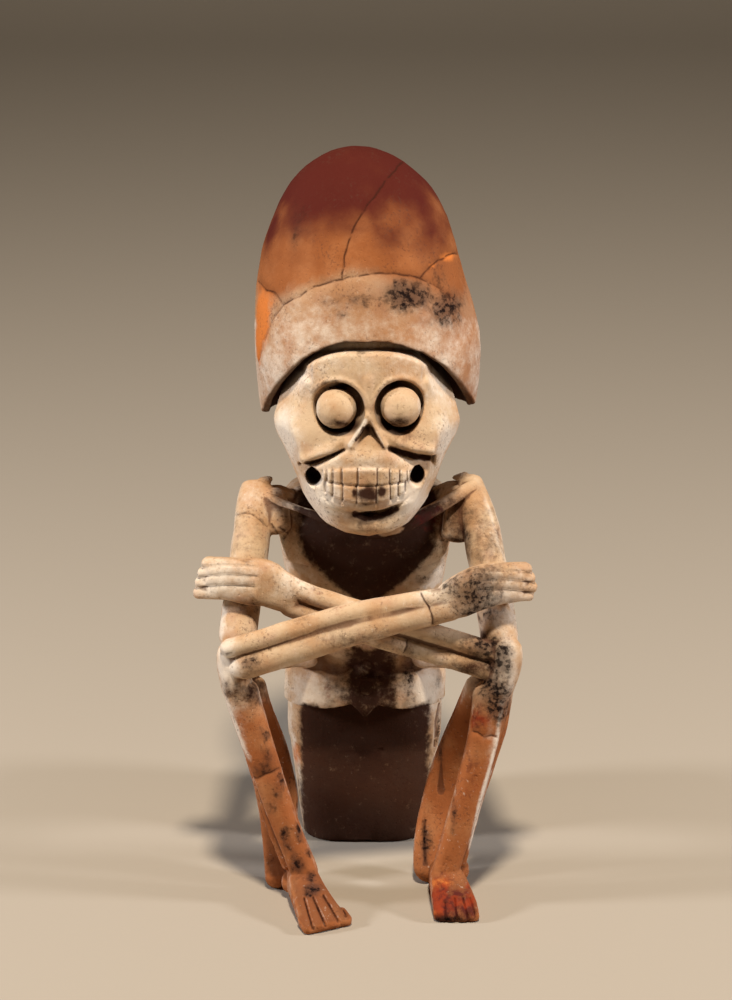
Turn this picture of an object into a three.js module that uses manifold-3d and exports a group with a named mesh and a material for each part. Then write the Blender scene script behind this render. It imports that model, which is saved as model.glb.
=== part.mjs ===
// Seated death god figure in fired clay, made as one piece with its seat.
// Millimetres, Z up, the face looks towards -Y, the viewer's left is -X.
// A place is [x, d, z], where d is the distance behind the toes. The joined solid is moved
// at the end, so that the middle of the box round its underside is the origin.

import * as THREE from "three";
import { mergeVertices } from "three/addons/utils/BufferGeometryUtils.js";
import Module from "manifold-3d";

// Driving dimensions
const clay = { color: 0xb9794f, roughness: 0.86, metalness: 0.0 };

const cap = {
  apex: 337,              // top of the cap
  widest: 249,            // height where the cap is widest
  halfWidth: 50.9,
  halfDepth: 46,
  middle: 89,             // d of the middle of the widest section
  leanBack: 13,           // how far the apex lies behind that middle
  swayWide: 1.25,         // x of the middle of the widest section
  swayTop: -3.85,         // x of the apex
  swayBend: 1.24,         // above 1 the lean to that side comes late
  taperBelow: 2.4,        // loss of half width down to the rim's corners
  wall: 4.2,
  rimFront: 262.6,        // height of the arched rim over the forehead
  rimCorner: 217.5,       // height of its corners beside the ears
  rimBack: 213,           // height of the rim behind
  rimLift: 3.2,           // how much higher the corner on the figure's left is
  ceiling: 280,           // top of the hollow, which closes against the cranium
  archRise: 1.75,         // how steeply the rim climbs from its corners
  archRound: 1.2,         // how round it is over the forehead
  domeRise: 2.08,         // how long the sides stay upright below the dome
  domeRound: 2.12,        // how full its shoulders are
  dent: 3.3,              // how far the figure's left side is pressed in
  dentHeight: 284,        // height of the middle of that dent
  dentReach: 20,          // how far it fades out above and below
  closing: 0.8,           // share by which the hollow narrows up to its ceiling
};

const skull = {
  face: [
    // height, front, back, half width, squareness
    [172.2, 47, 64, 8, 2.0],
    [176, 41, 71, 17, 2.2],
    [182, 39.3, 79, 23.6, 2.2],
    [188, 38.5, 84, 27.4, 2.3],
    [196, 36.8, 92, 30.6, 2.3],
    [208, 36.6, 104, 35.6, 2.3],
    [219, 40, 112, 38.6, 2.3],
    [231, 42, 116, 38, 2.2],
    [242, 42.5, 119, 33, 2.3],
    [250, 43.5, 121, 30, 2.5],
    [256.4, 45, 121, 29, 2.5],
    [263, 58, 121, 28, 2.4],
  ],
  cranium: { at: [0, 87, 250], size: [37, 37, 46] },
  cheek: { x: 36.6, d: 62, z: 219.5, size: [6, 14, 10] },
};

const eye = {
  radius: 9,
  places: [[-12.6, 46.5, 232.4], [15.6, 46.5, 233]],
  socket: { size: [11.4, 11.4, 12.2], d: 43, lift: 0.7 },
};

const nose = {
  top: [0.5, 39, 230],
  wings: [[-7.2, 38.5, 217.4], [9, 38.5, 217]],
  ridge: 2,
  cavity: { at: [0.9, 39, 219.5], size: [3.4, 7, 6.6] },
};

const mouth = {
  // curve of the tooth rows, half an oval seen from above
  arch: { halfWidth: 22.2, front: 34.6, depth: 12, gap: 0.5, root: 7 },
  upper: { z: 204.4, height: 7.4, edges: [-19.2, -14.3, -10.3, -3.2, 5.5, 11, 15.5, 19] },
  lower: { z: 195.8, height: 7.4, edges: [-16.8, -9.8, -3.6, 5.1, 11.5, 17.6] },
  corner: { x: 23, d: 44, z: 201, size: [3.1, 12, 4.1] },
  slit: { from: [-28, 47, 206], to: [-9.5, 38.5, 215], size: 2 },
  chinCut: { at: [4.4, 37, 185.8], size: [8, 7, 2.3] },
};

const trunk = [
  // height, front, back, half width, squareness: from the hem of the loincloth up to the shoulders
  [71, 85, 127, 38.6, 2.25],
  [86, 85.6, 127, 37.8, 2.25],
  [89, 88, 126, 35.4, 2.25],
  [100, 86, 126, 35, 2.25],
  [114, 81, 126.5, 34.6, 2.3],
  [127, 77, 127, 35.4, 2.4],
  [138, 73.5, 128, 37.4, 2.7],
  [152, 71.5, 128, 39.6, 3.0],
  [161, 72.5, 127.5, 41, 3.2],
  [169, 78, 127, 40.6, 3.2],
  [176, 90, 125.5, 35.4, 3.0],
  [180, 102, 122, 26, 2.6],
];

const apron = { halfTop: 7, top: 88, shoulder: 76, tip: 67.8, front: 84, back: 92 };

const seat = [
  // height, front, back, half width
  [0, 91, 151, 30.5],
  [20, 93.5, 153, 33.5],
  [44, 96.5, 154, 36.4],
  [66, 98, 153, 37.2],
  [74, 99, 150, 36],
];
const seatSquareness = 3.4;

const neck = { from: [0, 95, 176], to: [0, 88, 214], radius: 15 };

const collarbones = {
  radii: [1.9, 2.5],
  inner: [0, 69, 166],
  outer: [[-46, 84.5, 178.6], [52, 87, 184]],
  middle: [[-18, 66.5, 173.4], [17, 65.5, 170.6]],
};

const arms = {
  // stations from the shoulder down: place, half width, half thickness
  shafts: [
    [[-48.6, 95.5, 182.2, 6.4, 3.6], [-49.8, 90, 176.6, 8.6, 7], [-52.4, 73, 159, 8.5, 8.5],
      [-55.4, 54, 139, 8.5, 8.5], [-58.6, 40, 119, 8.5, 8.5]],
    [[47.8, 95.5, 184.8, 5.4, 3.6], [48.8, 90.5, 179.4, 6.6, 7], [51.8, 81, 169.6, 8, 8],
      [54.4, 72, 159, 8.5, 8.5], [58.6, 54, 138.5, 8.5, 8.5], [61.6, 41, 117.5, 8.5, 8.5]],
  ],
  shoulders: [
    [[-48, 93, 173], [-40, 96, 170], [-29, 101, 160]],
    [[48, 93, 175], [40, 96, 172], [29, 101, 162]],
  ],
  shoulderSize: [9.6, 8.4],
  breastFlaps: [
    [[-44, 90, 180], [-42, 83.5, 173], [-40.5, 77.5, 162]],
    [[44, 90.5, 181.4], [43, 84, 173], [41.5, 77, 158.4]],
  ],
  flapSize: [9.4, 4.4],
  elbows: [
    [[-60.2, 38, 126], [-60, 36.5, 113], [-57.4, 37, 97]],
    [[63.2, 39, 127], [63.4, 38, 114], [58.4, 37.5, 97]],
  ],
  elbowSize: [7.6, 8.6],
};

const forearms = [
  // the one in front crosses from the left elbow to the right hand
  { radius: 4.4, line: [[-64.6, 30.5, 124], [-51.3, 29.4, 128], [-6.7, 31.4, 141.4],
    [33.4, 33.5, 148.2], [44, 34.5, 150.2]] },
  { radius: 6.4, line: [[-58.4, 31, 115.2], [-51.5, 29.6, 117.6], [-6.7, 31.2, 132.4],
    [33.5, 33.7, 142.2], [44, 34.7, 145]] },
  { radius: 4.6, line: [[62, 37.5, 119], [36.9, 40, 126.2], [4, 41, 136.5],
    [-29.2, 44.5, 147], [-38, 45, 150]] },
  { radius: 4.7, line: [[57.5, 37.5, 110.6], [37, 40, 116.4], [4, 41, 126.6],
    [-29.3, 44.5, 137.6], [-38, 45, 141.4]] },
];

const hands = [
  // palm stations run from the wrist outwards: place, half height, half thickness
  {
    palm: [[-28, 45, 142.8, 7.2, 4.2], [-34, 44.8, 145, 8.6, 4.8], [-40, 44.2, 148, 9.4, 5.6],
      [-46, 43.6, 151.2, 11, 6.2], [-52, 43.2, 152, 10.8, 6.2], [-62, 44.2, 153, 9.8, 5.2],
      [-72, 46.4, 152.7, 9, 4.2]],
    fingers: [159.8, 155.2, 150.5, 145.9], tips: [-73.3, -75, -76.4, -77.2],
    near: -56, d: [44, 48.4], droop: -0.6,
  },
  {
    palm: [[28, 34, 142.6, 7.2, 4.6], [35, 34.4, 144.4, 8.2, 5.2], [42, 35, 147.8, 9.8, 6.2],
      [52, 36.4, 151.9, 10.4, 6.4], [62, 38.6, 152.8, 9.6, 5.4], [72, 41.6, 152.4, 8.9, 4.2]],
    fingers: [159, 154.8, 150.6, 146.6], tips: [74.4, 76, 77.1, 75.6],
    near: 56, d: [38.6, 43.6], droop: -0.9,
  },
];
const finger = { radius: 2.8, thickness: 4.4 };

const legs = [
  {
    shin: [[-57.4, 37, 107, 8.2, 7.6], [-54.9, 36, 97, 7.7, 7], [-49.7, 35, 79.8, 7, 6.6],
      [-44.6, 34, 63.9, 6.5, 6.4], [-39.7, 33, 47.4, 6.2, 6.2], [-28.9, 30, 17.6, 6.2, 6.2],
      [-26.8, 29.5, 9, 6.4, 6.6]],
    outerBone: [[-62.2, 40, 104], [-58.7, 39.5, 94], [-54, 39, 78], [-49.6, 38, 61.6],
      [-44.1, 36.5, 40], [-35, 34, 14]],
    backBone: [[-55, 43, 104, 9, 6], [-51.4, 53, 84, 9.4, 5], [-45.4, 60.5, 60, 9.8, 5],
      [-40.6, 60.5, 36, 9.4, 5], [-40, 52, 15, 7.4, 5.6], [-41.3, 41.5, 0.5, 5, 6]],
    thigh: [[-56, 42, 111], [-46, 62, 107], [-34, 84, 100], [-24, 98, 94]],
    ankle: [-35.2, 34.4, 7.4],
    foot: [[-30.2, 46, 6, 6.4, 6], [-29, 33, 8.6, 7, 8.4], [-26, 21, 7.6, 8.2, 7.4],
      [-21.8, 10, 4.8, 9.6, 5.2], [-18.2, 2.6, 3, 10.4, 3.2], [-16.2, -1.2, 2.6, 10.4, 2.7]],
    toes: { at: [[-26, 0.5], [-20.6, 3], [-15.2, 5.5], [-10.4, 7.8]], heading: [0.42, -1], length: 5.6 },
  },
  {
    shin: [[58.4, 37.5, 106, 8.6, 7.8], [56.8, 37, 97, 8.4, 7.4], [52.5, 35, 73.4, 7.2, 6.8],
      [44.7, 32.5, 43.8, 6.6, 6.4], [37.6, 30, 18.1, 6.2, 6.4], [36.4, 30, 9, 6.4, 6.8]],
    outerBone: [[65, 40, 104], [61, 39, 80], [50.6, 36.5, 45], [43.4, 34, 16]],
    backBone: [[56, 43, 104, 9, 6], [50.4, 53, 84, 9.6, 5], [43, 60.5, 60, 9.8, 5],
      [36.2, 61.5, 36, 9.6, 5], [31.4, 56, 17, 8.6, 5.4], [28.6, 48, 0.5, 6.2, 6]],
    thigh: [[57, 42, 111], [47, 62, 107], [34, 84, 100], [24, 98, 94]],
    ankle: [44.6, 35.4, 13.2],
    foot: [[36, 46, 6, 6.8, 6], [36.6, 34, 9, 7.2, 9], [38.4, 25, 8.6, 8.8, 8.4], [40.6, 16.4, 5.6, 10, 6],
      [41.6, 10.4, 3.6, 10.4, 3.8], [42, 6.8, 2.9, 10.4, 3]],
    toes: { at: [[34.4, 11.6], [39.4, 11.2], [44.2, 11], [48.6, 11.4]], heading: [0.12, -1], length: 4.4 },
  },
];
const shinSquareness = 2.3;
const backBoneSquareness = 2.8;
const outerBoneRadius = 2.8;
const thighSize = [6.4, 6];
const ankleRadius = 3.4;
const toe = { radius: 3.3, height: 2.5 };

// Turning three.js geometry into solids and back
const wasm = await Module();
wasm.setup();

function solidOf(geometry) {
  const bare = geometry.clone();
  bare.deleteAttribute("normal");
  bare.deleteAttribute("uv");
  const merged = mergeVertices(bare, 1e-4);
  const points = merged.attributes.position.array;
  const corners = Array.from(merged.index.array);
  const [a, b, c] = [new THREE.Vector3(), new THREE.Vector3(), new THREE.Vector3()];
  let volume = 0;
  for (let i = 0; i < corners.length; i += 3) {
    a.fromArray(points, 3 * corners[i]);
    b.fromArray(points, 3 * corners[i + 1]);
    c.fromArray(points, 3 * corners[i + 2]);
    volume += a.dot(b.cross(c));
  }
  if (volume < 0) corners.reverse();      // a mirrored form is turned face out again
  return new wasm.Manifold(new wasm.Mesh({
    numProp: 3, vertProperties: new Float32Array(points), triVerts: new Uint32Array(corners),
  }));
}

function geometryOf(solid) {
  const mesh = solid.getMesh();
  const geometry = new THREE.BufferGeometry();
  geometry.setAttribute("position", new THREE.BufferAttribute(mesh.vertProperties, 3));
  geometry.setIndex(new THREE.BufferAttribute(mesh.triVerts, 1));
  return geometry;
}

// Basic forms

// The net of a ball is laid onto any closed form: place(turn, row, point) moves each of its
// points, where turn is the angle round and row counts from the first pole to the last.
function mould(columns, rows, place) {
  const net = new THREE.SphereGeometry(1, columns, rows);
  const { position, uv } = net.attributes;
  const point = new THREE.Vector3();
  for (let i = 0; i < position.count; i++) {
    place(uv.getX(i) * 2 * Math.PI, Math.round((1 - uv.getY(i)) * rows), point);
    position.setXYZ(i, point.x, point.y, point.z);
  }
  return solidOf(net);
}

// An oval with squared shoulders where squareness is above 2
function ovalPoint(turn, squareness) {
  const bend = (value) => Math.sign(value) * Math.abs(value) ** (2 / squareness);
  return [bend(Math.cos(turn)), bend(Math.sin(turn))];
}

// Level sections stacked upwards, from rows of height, front, back, half width, squareness
function stack(sections, { columns = 24, rows = 16, squareness = 2 } = {}) {
  const middle = new THREE.CatmullRomCurve3(
    sections.map(([z, front, back]) => new THREE.Vector3(z, front, back)), false, "catmullrom", 0.5);
  const width = new THREE.CatmullRomCurve3(
    sections.map(([, , , half, square]) => new THREE.Vector3(half, square ?? squareness, 0)),
    false, "catmullrom", 0.5);
  return mould(columns, rows, (turn, row, point) => {
    const t = THREE.MathUtils.clamp((row - 1) / (rows - 2), 0, 1);
    const { x: z, y: front, z: back } = middle.getPoint(t);
    const { x: half, y: square } = width.getPoint(t);
    const spread = row === 0 || row === rows ? 0 : 1;
    const [across, along] = ovalPoint(turn, square);
    point.set(spread * half * across, (front + back) / 2 + spread * along * (back - front) / 2, z);
  });
}

// A limb along a bent line, from rows of x, d, z, half width, half thickness, with round ends;
// size, if given, holds for the whole length. side is the direction of the half width.
function limb(stations, { columns = 12, rows = 10, side = [1, 0, 0], squareness = 2, size = null } = {}) {
  const line = new THREE.CatmullRomCurve3(stations.map(([x, d, z]) => new THREE.Vector3(x, d, z)));
  const girth = new THREE.CatmullRomCurve3(
    stations.map(([, , , wide, deep]) => new THREE.Vector3(...(size ?? [wide, deep]), 0)),
    false, "catmullrom", 0.5);
  const length = line.getLength();
  const roundEnd = [[0, 0], [0.62, 0.215], [0.92, 0.608]];   // spread, then share of the radius
  const across = new THREE.Vector3();
  const through = new THREE.Vector3();
  return mould(columns, rows, (turn, row, point) => {
    const fromEnd = Math.min(row, rows - row);
    const end = girth.getPoint(row < rows / 2 ? 0 : 1);
    const share = Math.min(end.x, end.y, length / 3) / length;
    let spread = 1;
    let u = share + (1 - 2 * share) * (row - 3) / (rows - 6);
    if (fromEnd < 3) {
      spread = roundEnd[fromEnd][0];
      u = roundEnd[fromEnd][1] * share;
      if (row > rows / 2) u = 1 - u;
    }
    const t = line.getUtoTmapping(u);
    const centre = line.getPoint(t);
    const tangent = line.getTangent(t);
    const { x: wide, y: deep } = girth.getPoint(t);
    across.set(...side).addScaledVector(tangent, -tangent.dot(across)).normalize();
    through.crossVectors(tangent, across);
    const [a, b] = ovalPoint(turn, squareness);
    point.copy(centre).addScaledVector(across, spread * wide * a).addScaledVector(through, spread * deep * b);
  });
}

function ball([x, d, z], [rx, ry, rz], columns = 14, rows = 10) {
  const geometry = new THREE.SphereGeometry(1, columns, rows);
  geometry.scale(rx, ry, rz);
  geometry.translate(x, d, z);
  return solidOf(geometry);
}

const join = (solids) => solids.reduce((whole, next) => whole.add(next));

// The cap is a bell: outside from the apex down to the rim, then inside up to its ceiling
function makeCap() {
  const columns = 24;
  const outerRows = 10;
  const innerRows = 4;
  const outerSpacing = 1.7;       // above 1 the rows crowd together towards the apex
  const rise = cap.apex - cap.widest;
  const rimHeight = (turn) => {
    const front = Math.max(0, -Math.sin(turn));
    const back = Math.max(0, Math.sin(turn));
    const arch = 1 - (1 - front ** cap.archRise) ** cap.archRound;
    const climb = (cap.rimFront - cap.rimCorner) * arch + (cap.rimBack - cap.rimCorner) * back;
    return cap.rimCorner + climb + cap.rimLift * Math.max(0, Math.cos(turn)) ** 2;
  };
  const section = (z, turn, inset) => {
    const up = Math.max(0, (z - cap.widest) / (rise - inset));
    const down = Math.max(0, (cap.widest - z) / (cap.widest - cap.rimCorner));
    const dome = Math.max(0, 1 - up ** cap.domeRise) ** (1 / cap.domeRound);
    const half = (cap.halfWidth - inset - cap.taperBelow * down ** 2) * dome;
    const deep = half * (cap.halfDepth - inset) / (cap.halfWidth - inset);
    const fade = Math.exp(-(((z - cap.dentHeight) / cap.dentReach) ** 2));
    const pressed = cap.dent * Math.max(0, Math.cos(turn)) * fade;
    return [
      cap.swayWide + (cap.swayTop - cap.swayWide) * up ** cap.swayBend + half * Math.cos(turn) - pressed,
      cap.middle + cap.leanBack * up + deep * Math.sin(turn),
    ];
  };
  return mould(columns, outerRows + innerRows, (turn, row, point) => {
    const inside = row > outerRows;
    const t = inside ? (row - outerRows - 1) / (innerRows - 1) : 1 - row / outerRows;
    const top = inside ? cap.ceiling : cap.apex;
    const rim = rimHeight(turn);
    const fall = 1 - Math.sqrt(Math.max(0, 1 - t ** 2));
    const share = inside ? t : 1 - (1 - t) ** outerSpacing;
    const z = row === 0 ? cap.apex : rim + (top - rim) * share;
    const [x, d] = section(z, turn, inside ? cap.wall : 0);
    point.set(x, d, z);
    if (row === 0 || row === outerRows + innerRows) {
      point.set(cap.swayTop, cap.middle + cap.leanBack * (inside ? 0.5 : 1), top);
    } else if (inside) {
      point.x = cap.swayWide + (point.x - cap.swayWide) * (1 - cap.closing * fall);
      point.y = cap.middle + (point.y - cap.middle) * (1 - cap.closing * fall);
    }
  });
}

function makeSkull() {
  const { cranium, cheek } = skull;
  let head = join([
    stack(skull.face, { columns: 16, rows: 13 }),
    ball(cranium.at, cranium.size, 10, 6),
  ]);
  for (const way of [-1, 1]) {
    head = head.add(ball([way * cheek.x, cheek.d, cheek.z], cheek.size, 7, 5));
    const { corner, slit } = mouth;
    head = head.subtract(ball([way * corner.x, corner.d, corner.z], corner.size, 8, 4));
    const mirrored = [slit.from, slit.to].map(([x, d, z]) => [-way * x, d, z]);
    head = head.subtract(limb(mirrored, { columns: 6, rows: 7, side: [0, 0, 1], size: [slit.size, 4] }));
  }
  for (const [x, , z] of eye.places) {
    const { socket } = eye;
    head = head.subtract(ball([x, socket.d, z + socket.lift], socket.size, 10, 6));
  }
  head = join([head, ...eye.places.map((at) => ball(at, [eye.radius, eye.radius, eye.radius], 10, 7))]);
  head = head.subtract(ball(nose.cavity.at, nose.cavity.size, 6, 5));
  const ridges = nose.wings.map((wing) => limb([nose.top, wing], {
    columns: 6, rows: 7, side: [0, 1, 0], size: [nose.ridge * 1.5, nose.ridge],
  }));
  head = join([head, ...ridges]);
  head = head.subtract(ball(mouth.chinCut.at, mouth.chinCut.size, 8, 5));
  return join([head, ...makeTeeth(mouth.upper), ...makeTeeth(mouth.lower)]);
}

// One block for each tooth, set square to the curve of the jaw
function makeTeeth({ z, height, edges }) {
  const { halfWidth, front, depth, gap, root } = mouth.arch;
  return edges.slice(1).map((edge, i) => {
    const x = (edges[i] + edge) / 2;
    const drop = Math.sqrt(1 - (x / halfWidth) ** 2);
    const tooth = new THREE.BoxGeometry(edge - edges[i] - gap, root, height);
    tooth.rotateZ(Math.atan2(depth * x, halfWidth ** 2 * drop));
    tooth.translate(x, front + depth * (1 - drop) + root / 2, z);
    return solidOf(tooth);
  });
}

function makeTrunk() {
  const body = stack(trunk, { columns: 20, rows: 12 });
  const block = stack(seat, { columns: 20, rows: 6, squareness: seatSquareness });
  return join([body, block, makeApron()]);
}

// The loincloth's pointed middle flap stands proud of the hem
function makeApron() {
  const outline = new THREE.Shape();
  outline.moveTo(-apron.halfTop, apron.top);
  outline.lineTo(-apron.halfTop, apron.shoulder);
  outline.lineTo(0, apron.tip);
  outline.lineTo(apron.halfTop, apron.shoulder);
  outline.lineTo(apron.halfTop, apron.top);
  outline.closePath();
  const geometry = new THREE.ExtrudeGeometry(outline, {
    depth: apron.back - apron.front, bevelEnabled: false,
  });
  geometry.rotateX(Math.PI / 2);
  geometry.translate(0, apron.back, 0);
  return solidOf(geometry);
}

function makeCollarbones() {
  return collarbones.outer.map((outer, i) => limb([outer, collarbones.middle[i], collarbones.inner],
    { columns: 6, rows: 8, size: [collarbones.radii[i], collarbones.radii[i]] }));
}

function makeArm(i) {
  return [
    limb(arms.shafts[i], { columns: 8, rows: 10, squareness: 2.2 }),
    limb(arms.shoulders[i], { columns: 6, rows: 7, side: [0, 0, 1], size: arms.shoulderSize }),
    limb(arms.breastFlaps[i], { columns: 6, rows: 7, size: arms.flapSize }),
    limb(arms.elbows[i], { columns: 8, rows: 8, size: arms.elbowSize }),
  ];
}

function makeForearms() {
  return forearms.map(({ radius, line }) => limb(line, {
    columns: 8, rows: 8, side: [0, 1, 0], size: [radius, radius],
  }));
}

function makeHand({ palm, fingers, tips, near, d, droop }) {
  const back = limb(palm, { columns: 8, rows: 8, side: [0, 0, 1], squareness: 2.6 });
  const rods = fingers.map((z, i) => {
    const tip = tips[i];
    const line = [[near, d[0], z], [(near + tip) / 2, (d[0] + d[1]) / 2 - 0.6, z], [tip, d[1], z + droop]];
    return limb(line, { columns: 6, rows: 7, side: [0, 0, 1], size: [finger.radius, finger.thickness] });
  });
  return [back, ...rods];
}

function makeLeg({ shin, outerBone, backBone, thigh, ankle, foot, toes }) {
  const heading = new THREE.Vector2(...toes.heading).normalize();
  const toeRods = toes.at.map(([x, d]) => limb([
    [x - heading.x * 6, d - heading.y * 6, toe.height + 1],
    [x, d, toe.height + 0.2],
    [x + heading.x * toes.length, d + heading.y * toes.length, toe.height - 0.3],
  ], { columns: 6, rows: 7, squareness: 2.8, size: [toe.radius, toe.height] }));
  return [
    limb(shin, { columns: 8, rows: 9, squareness: shinSquareness }),
    limb(outerBone, { columns: 6, rows: 7, size: [outerBoneRadius, outerBoneRadius * 1.4] }),
    limb(backBone, { columns: 8, rows: 10, squareness: backBoneSquareness }),
    limb(thigh, { columns: 6, rows: 7, size: thighSize }),
    ball(ankle, [ankleRadius, ankleRadius + 1, ankleRadius + 1.6], 6, 5),
    limb(foot, { columns: 8, rows: 9, squareness: 2.6 }),
    ...toeRods,
  ];
}

// The soles, the heels and the seat all end on one level, where the clay stood in the kiln
function levelUnderside(solid) {
  const reach = 200;
  const below = new THREE.BoxGeometry(2 * reach, 2 * reach, 40);
  below.translate(0, reach / 2, -20);
  return solid.subtract(solidOf(below));
}

const whole = levelUnderside(join([
  makeCap(), makeSkull(), makeTrunk(),
  limb([neck.from, neck.to], { columns: 8, rows: 7, size: [neck.radius, neck.radius] }),
  ...makeCollarbones(), ...makeArm(0), ...makeArm(1), ...makeForearms(),
  ...makeHand(hands[0]), ...makeHand(hands[1]), ...makeLeg(legs[0]), ...makeLeg(legs[1]),
]));

const geometry = geometryOf(whole);
geometry.computeBoundingBox();
const box = geometry.boundingBox;
geometry.translate(-(box.min.x + box.max.x) / 2, -(box.min.y + box.max.y) / 2, -box.min.z);
geometry.computeVertexNormals();

const figure = new THREE.Mesh(geometry, new THREE.MeshStandardMaterial(clay));
figure.name = "figure";

const group = new THREE.Group();
group.add(figure);

export default group;
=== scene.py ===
import math
import bpy
import numpy as np
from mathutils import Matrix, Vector


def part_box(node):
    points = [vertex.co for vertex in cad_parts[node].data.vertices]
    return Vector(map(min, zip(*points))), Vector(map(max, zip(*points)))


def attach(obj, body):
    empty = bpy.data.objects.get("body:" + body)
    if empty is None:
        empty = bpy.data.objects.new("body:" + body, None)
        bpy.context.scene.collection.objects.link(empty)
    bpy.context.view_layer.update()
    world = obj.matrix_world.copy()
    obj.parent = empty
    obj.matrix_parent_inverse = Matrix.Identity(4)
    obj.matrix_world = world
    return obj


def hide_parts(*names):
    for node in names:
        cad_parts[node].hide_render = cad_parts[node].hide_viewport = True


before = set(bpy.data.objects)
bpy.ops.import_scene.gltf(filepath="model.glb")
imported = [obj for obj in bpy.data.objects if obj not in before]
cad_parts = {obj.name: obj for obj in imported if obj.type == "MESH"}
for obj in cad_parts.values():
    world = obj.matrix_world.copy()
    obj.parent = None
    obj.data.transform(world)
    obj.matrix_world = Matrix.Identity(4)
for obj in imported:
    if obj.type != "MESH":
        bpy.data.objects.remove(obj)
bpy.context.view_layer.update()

# Seated death god figure in fired clay. Sizes are millimetres in the maker's layout: x across,
# d behind the toes, z up. One mesh is worked out here and stands in for the solid "figure".

layout = {
    "leftmost": -77.2,       # fingertips of the figure's right hand
    "rearmost": 154.0,       # back of the seat
}
lowCorner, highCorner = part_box("figure")
shiftX = lowCorner.x * 1000 - layout["leftmost"]
shiftD = highCorner.y * 1000 - layout["rearmost"]


def toFrame(points):
    return (np.asarray(points, float) + (shiftX, shiftD, 0)) / 1000


# Small tools for whole arrays

def smoothStep(low, high, value):
    t = np.clip((value - low) / (high - low), 0, 1)
    return t * t * (3 - 2 * t)


def hump(value, width, power=2):
    # 1 where the value is 0, falling away on both sides over the width
    return np.exp(-(value / width)**power)


def runThrough(rows, t):
    # a smooth run through the rows (Catmull-Rom): t is 0 at the first row and 1 at the last
    rows = np.asarray(rows, float)
    rows = np.vstack([2 * rows[0] - rows[1], rows, 2 * rows[-1] - rows[-2]])
    place = np.clip(t, 0, 1) * (len(rows) - 3)
    i = np.minimum(place.astype(int), len(rows) - 4)
    f = (place - i)[..., None]
    a, b, c, e = rows[i], rows[i + 1], rows[i + 2], rows[i + 3]
    return 0.5 * (2 * b + (c - a) * f + (2 * a - 5 * b + 4 * c - e) * f**2 + (3 * b - a - 3 * c + e) * f**3)


def clayNoise(points, size, seed):
    # noise from -1 to 1: seeded random values on a lattice of that size, blended by smooth steps
    values = np.random.default_rng(seed).uniform(-1, 1, (32, 32, 32))
    cell = points / size
    whole = np.floor(cell).astype(int)
    part = cell - whole
    part = part * part * (3 - 2 * part)
    total = np.zeros(len(points))
    for corner in np.ndindex(2, 2, 2):
        weight = np.prod(np.where(corner, part, 1 - part), axis=1)
        x, y, z = ((whole + corner) % 32).T
        total += weight * values[x, y, z]
    return total


def scaledNoise(points, kind):
    height, size, seed = kind
    return height * clayNoise(points, size, seed)


def oval(turn, squareness):
    # an oval with squared shoulders where squareness is above 2
    across, along = np.cos(turn), np.sin(turn)
    power = 2 / squareness
    return np.sign(across) * np.abs(across)**power, np.sign(along) * np.abs(along)**power


shells = []


def addShell(grid):
    # closes a grid of rows round a form: its first and last rows are drawn in to a point each
    rows, columns = grid.shape[:2]
    points = np.vstack([grid.reshape(-1, 3), grid[0].mean(0), grid[-1].mean(0)])
    i, j = np.meshgrid(np.arange(rows - 1), np.arange(columns), indexing="ij")
    k = (j + 1) % columns
    quads = np.stack([i * columns + j, i * columns + k, (i + 1) * columns + k, (i + 1) * columns + j], -1)
    j = np.arange(columns)
    k = (j + 1) % columns
    first, last = rows * columns, rows * columns + 1
    start = np.stack([np.full(columns, first), k, j], -1)
    end = np.stack([np.full(columns, last), (rows - 1) * columns + j, (rows - 1) * columns + k], -1)
    shells.append((points, quads.reshape(-1, 4), np.vstack([start, end])))


def roundedRun(count, ends):
    # steps along a form with round ends: the share of the end's radius, and the spread of each row
    turn = np.linspace(0.12, 1, ends) * math.pi / 2
    share = np.concatenate([1 - np.cos(turn), np.ones(count), 1 - np.cos(turn[::-1])])
    spread = np.concatenate([np.sin(turn), np.ones(count), np.sin(turn[::-1])])
    return share, spread


def addLimb(stations, size=None, side=(1, 0, 0), squareness=2.0, columns=48, rows=90, ends=9):
    # a limb carried along a bent line: rows of x, d, z, half width, half thickness, with round ends
    stations = np.asarray(stations, float)
    if size is not None:
        stations = np.hstack([stations[:, :3], np.tile(size, (len(stations), 1))])
    fine = np.linspace(0, 1, 600)
    run = runThrough(stations, fine)
    gone = np.concatenate([[0], np.cumsum(np.linalg.norm(np.diff(run[:, :3], axis=0), axis=1))])
    length = gone[-1]
    share, spread = roundedRun(rows, ends)
    endRadius = [min(run[0, 3:].min(), length / 3), min(run[-1, 3:].min(), length / 3)]
    middle = np.linspace(endRadius[0], length - endRadius[1], rows)
    along = np.concatenate([share[:ends] * endRadius[0], middle, length - share[-ends:] * endRadius[1]])
    here = np.stack([np.interp(along, gone, run[:, n]) for n in range(5)], -1)
    ahead = np.stack([np.interp(along + 0.5, gone, run[:, n]) for n in range(3)], -1)
    behind = np.stack([np.interp(along - 0.5, gone, run[:, n]) for n in range(3)], -1)
    tangent = ahead - behind
    tangent /= np.linalg.norm(tangent, axis=1)[:, None]
    across = np.asarray(side, float) - tangent * (tangent @ np.asarray(side, float))[:, None]
    across /= np.linalg.norm(across, axis=1)[:, None]
    through = np.cross(tangent, across)
    turn = np.linspace(0, 2 * math.pi, columns, endpoint=False)
    a, b = oval(turn, squareness)
    wide = (spread * here[:, 3])[:, None] * a
    deep = (spread * here[:, 4])[:, None] * b
    addShell(here[:, None, :3] + wide[..., None] * across[:, None] + deep[..., None] * through[:, None])


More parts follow.
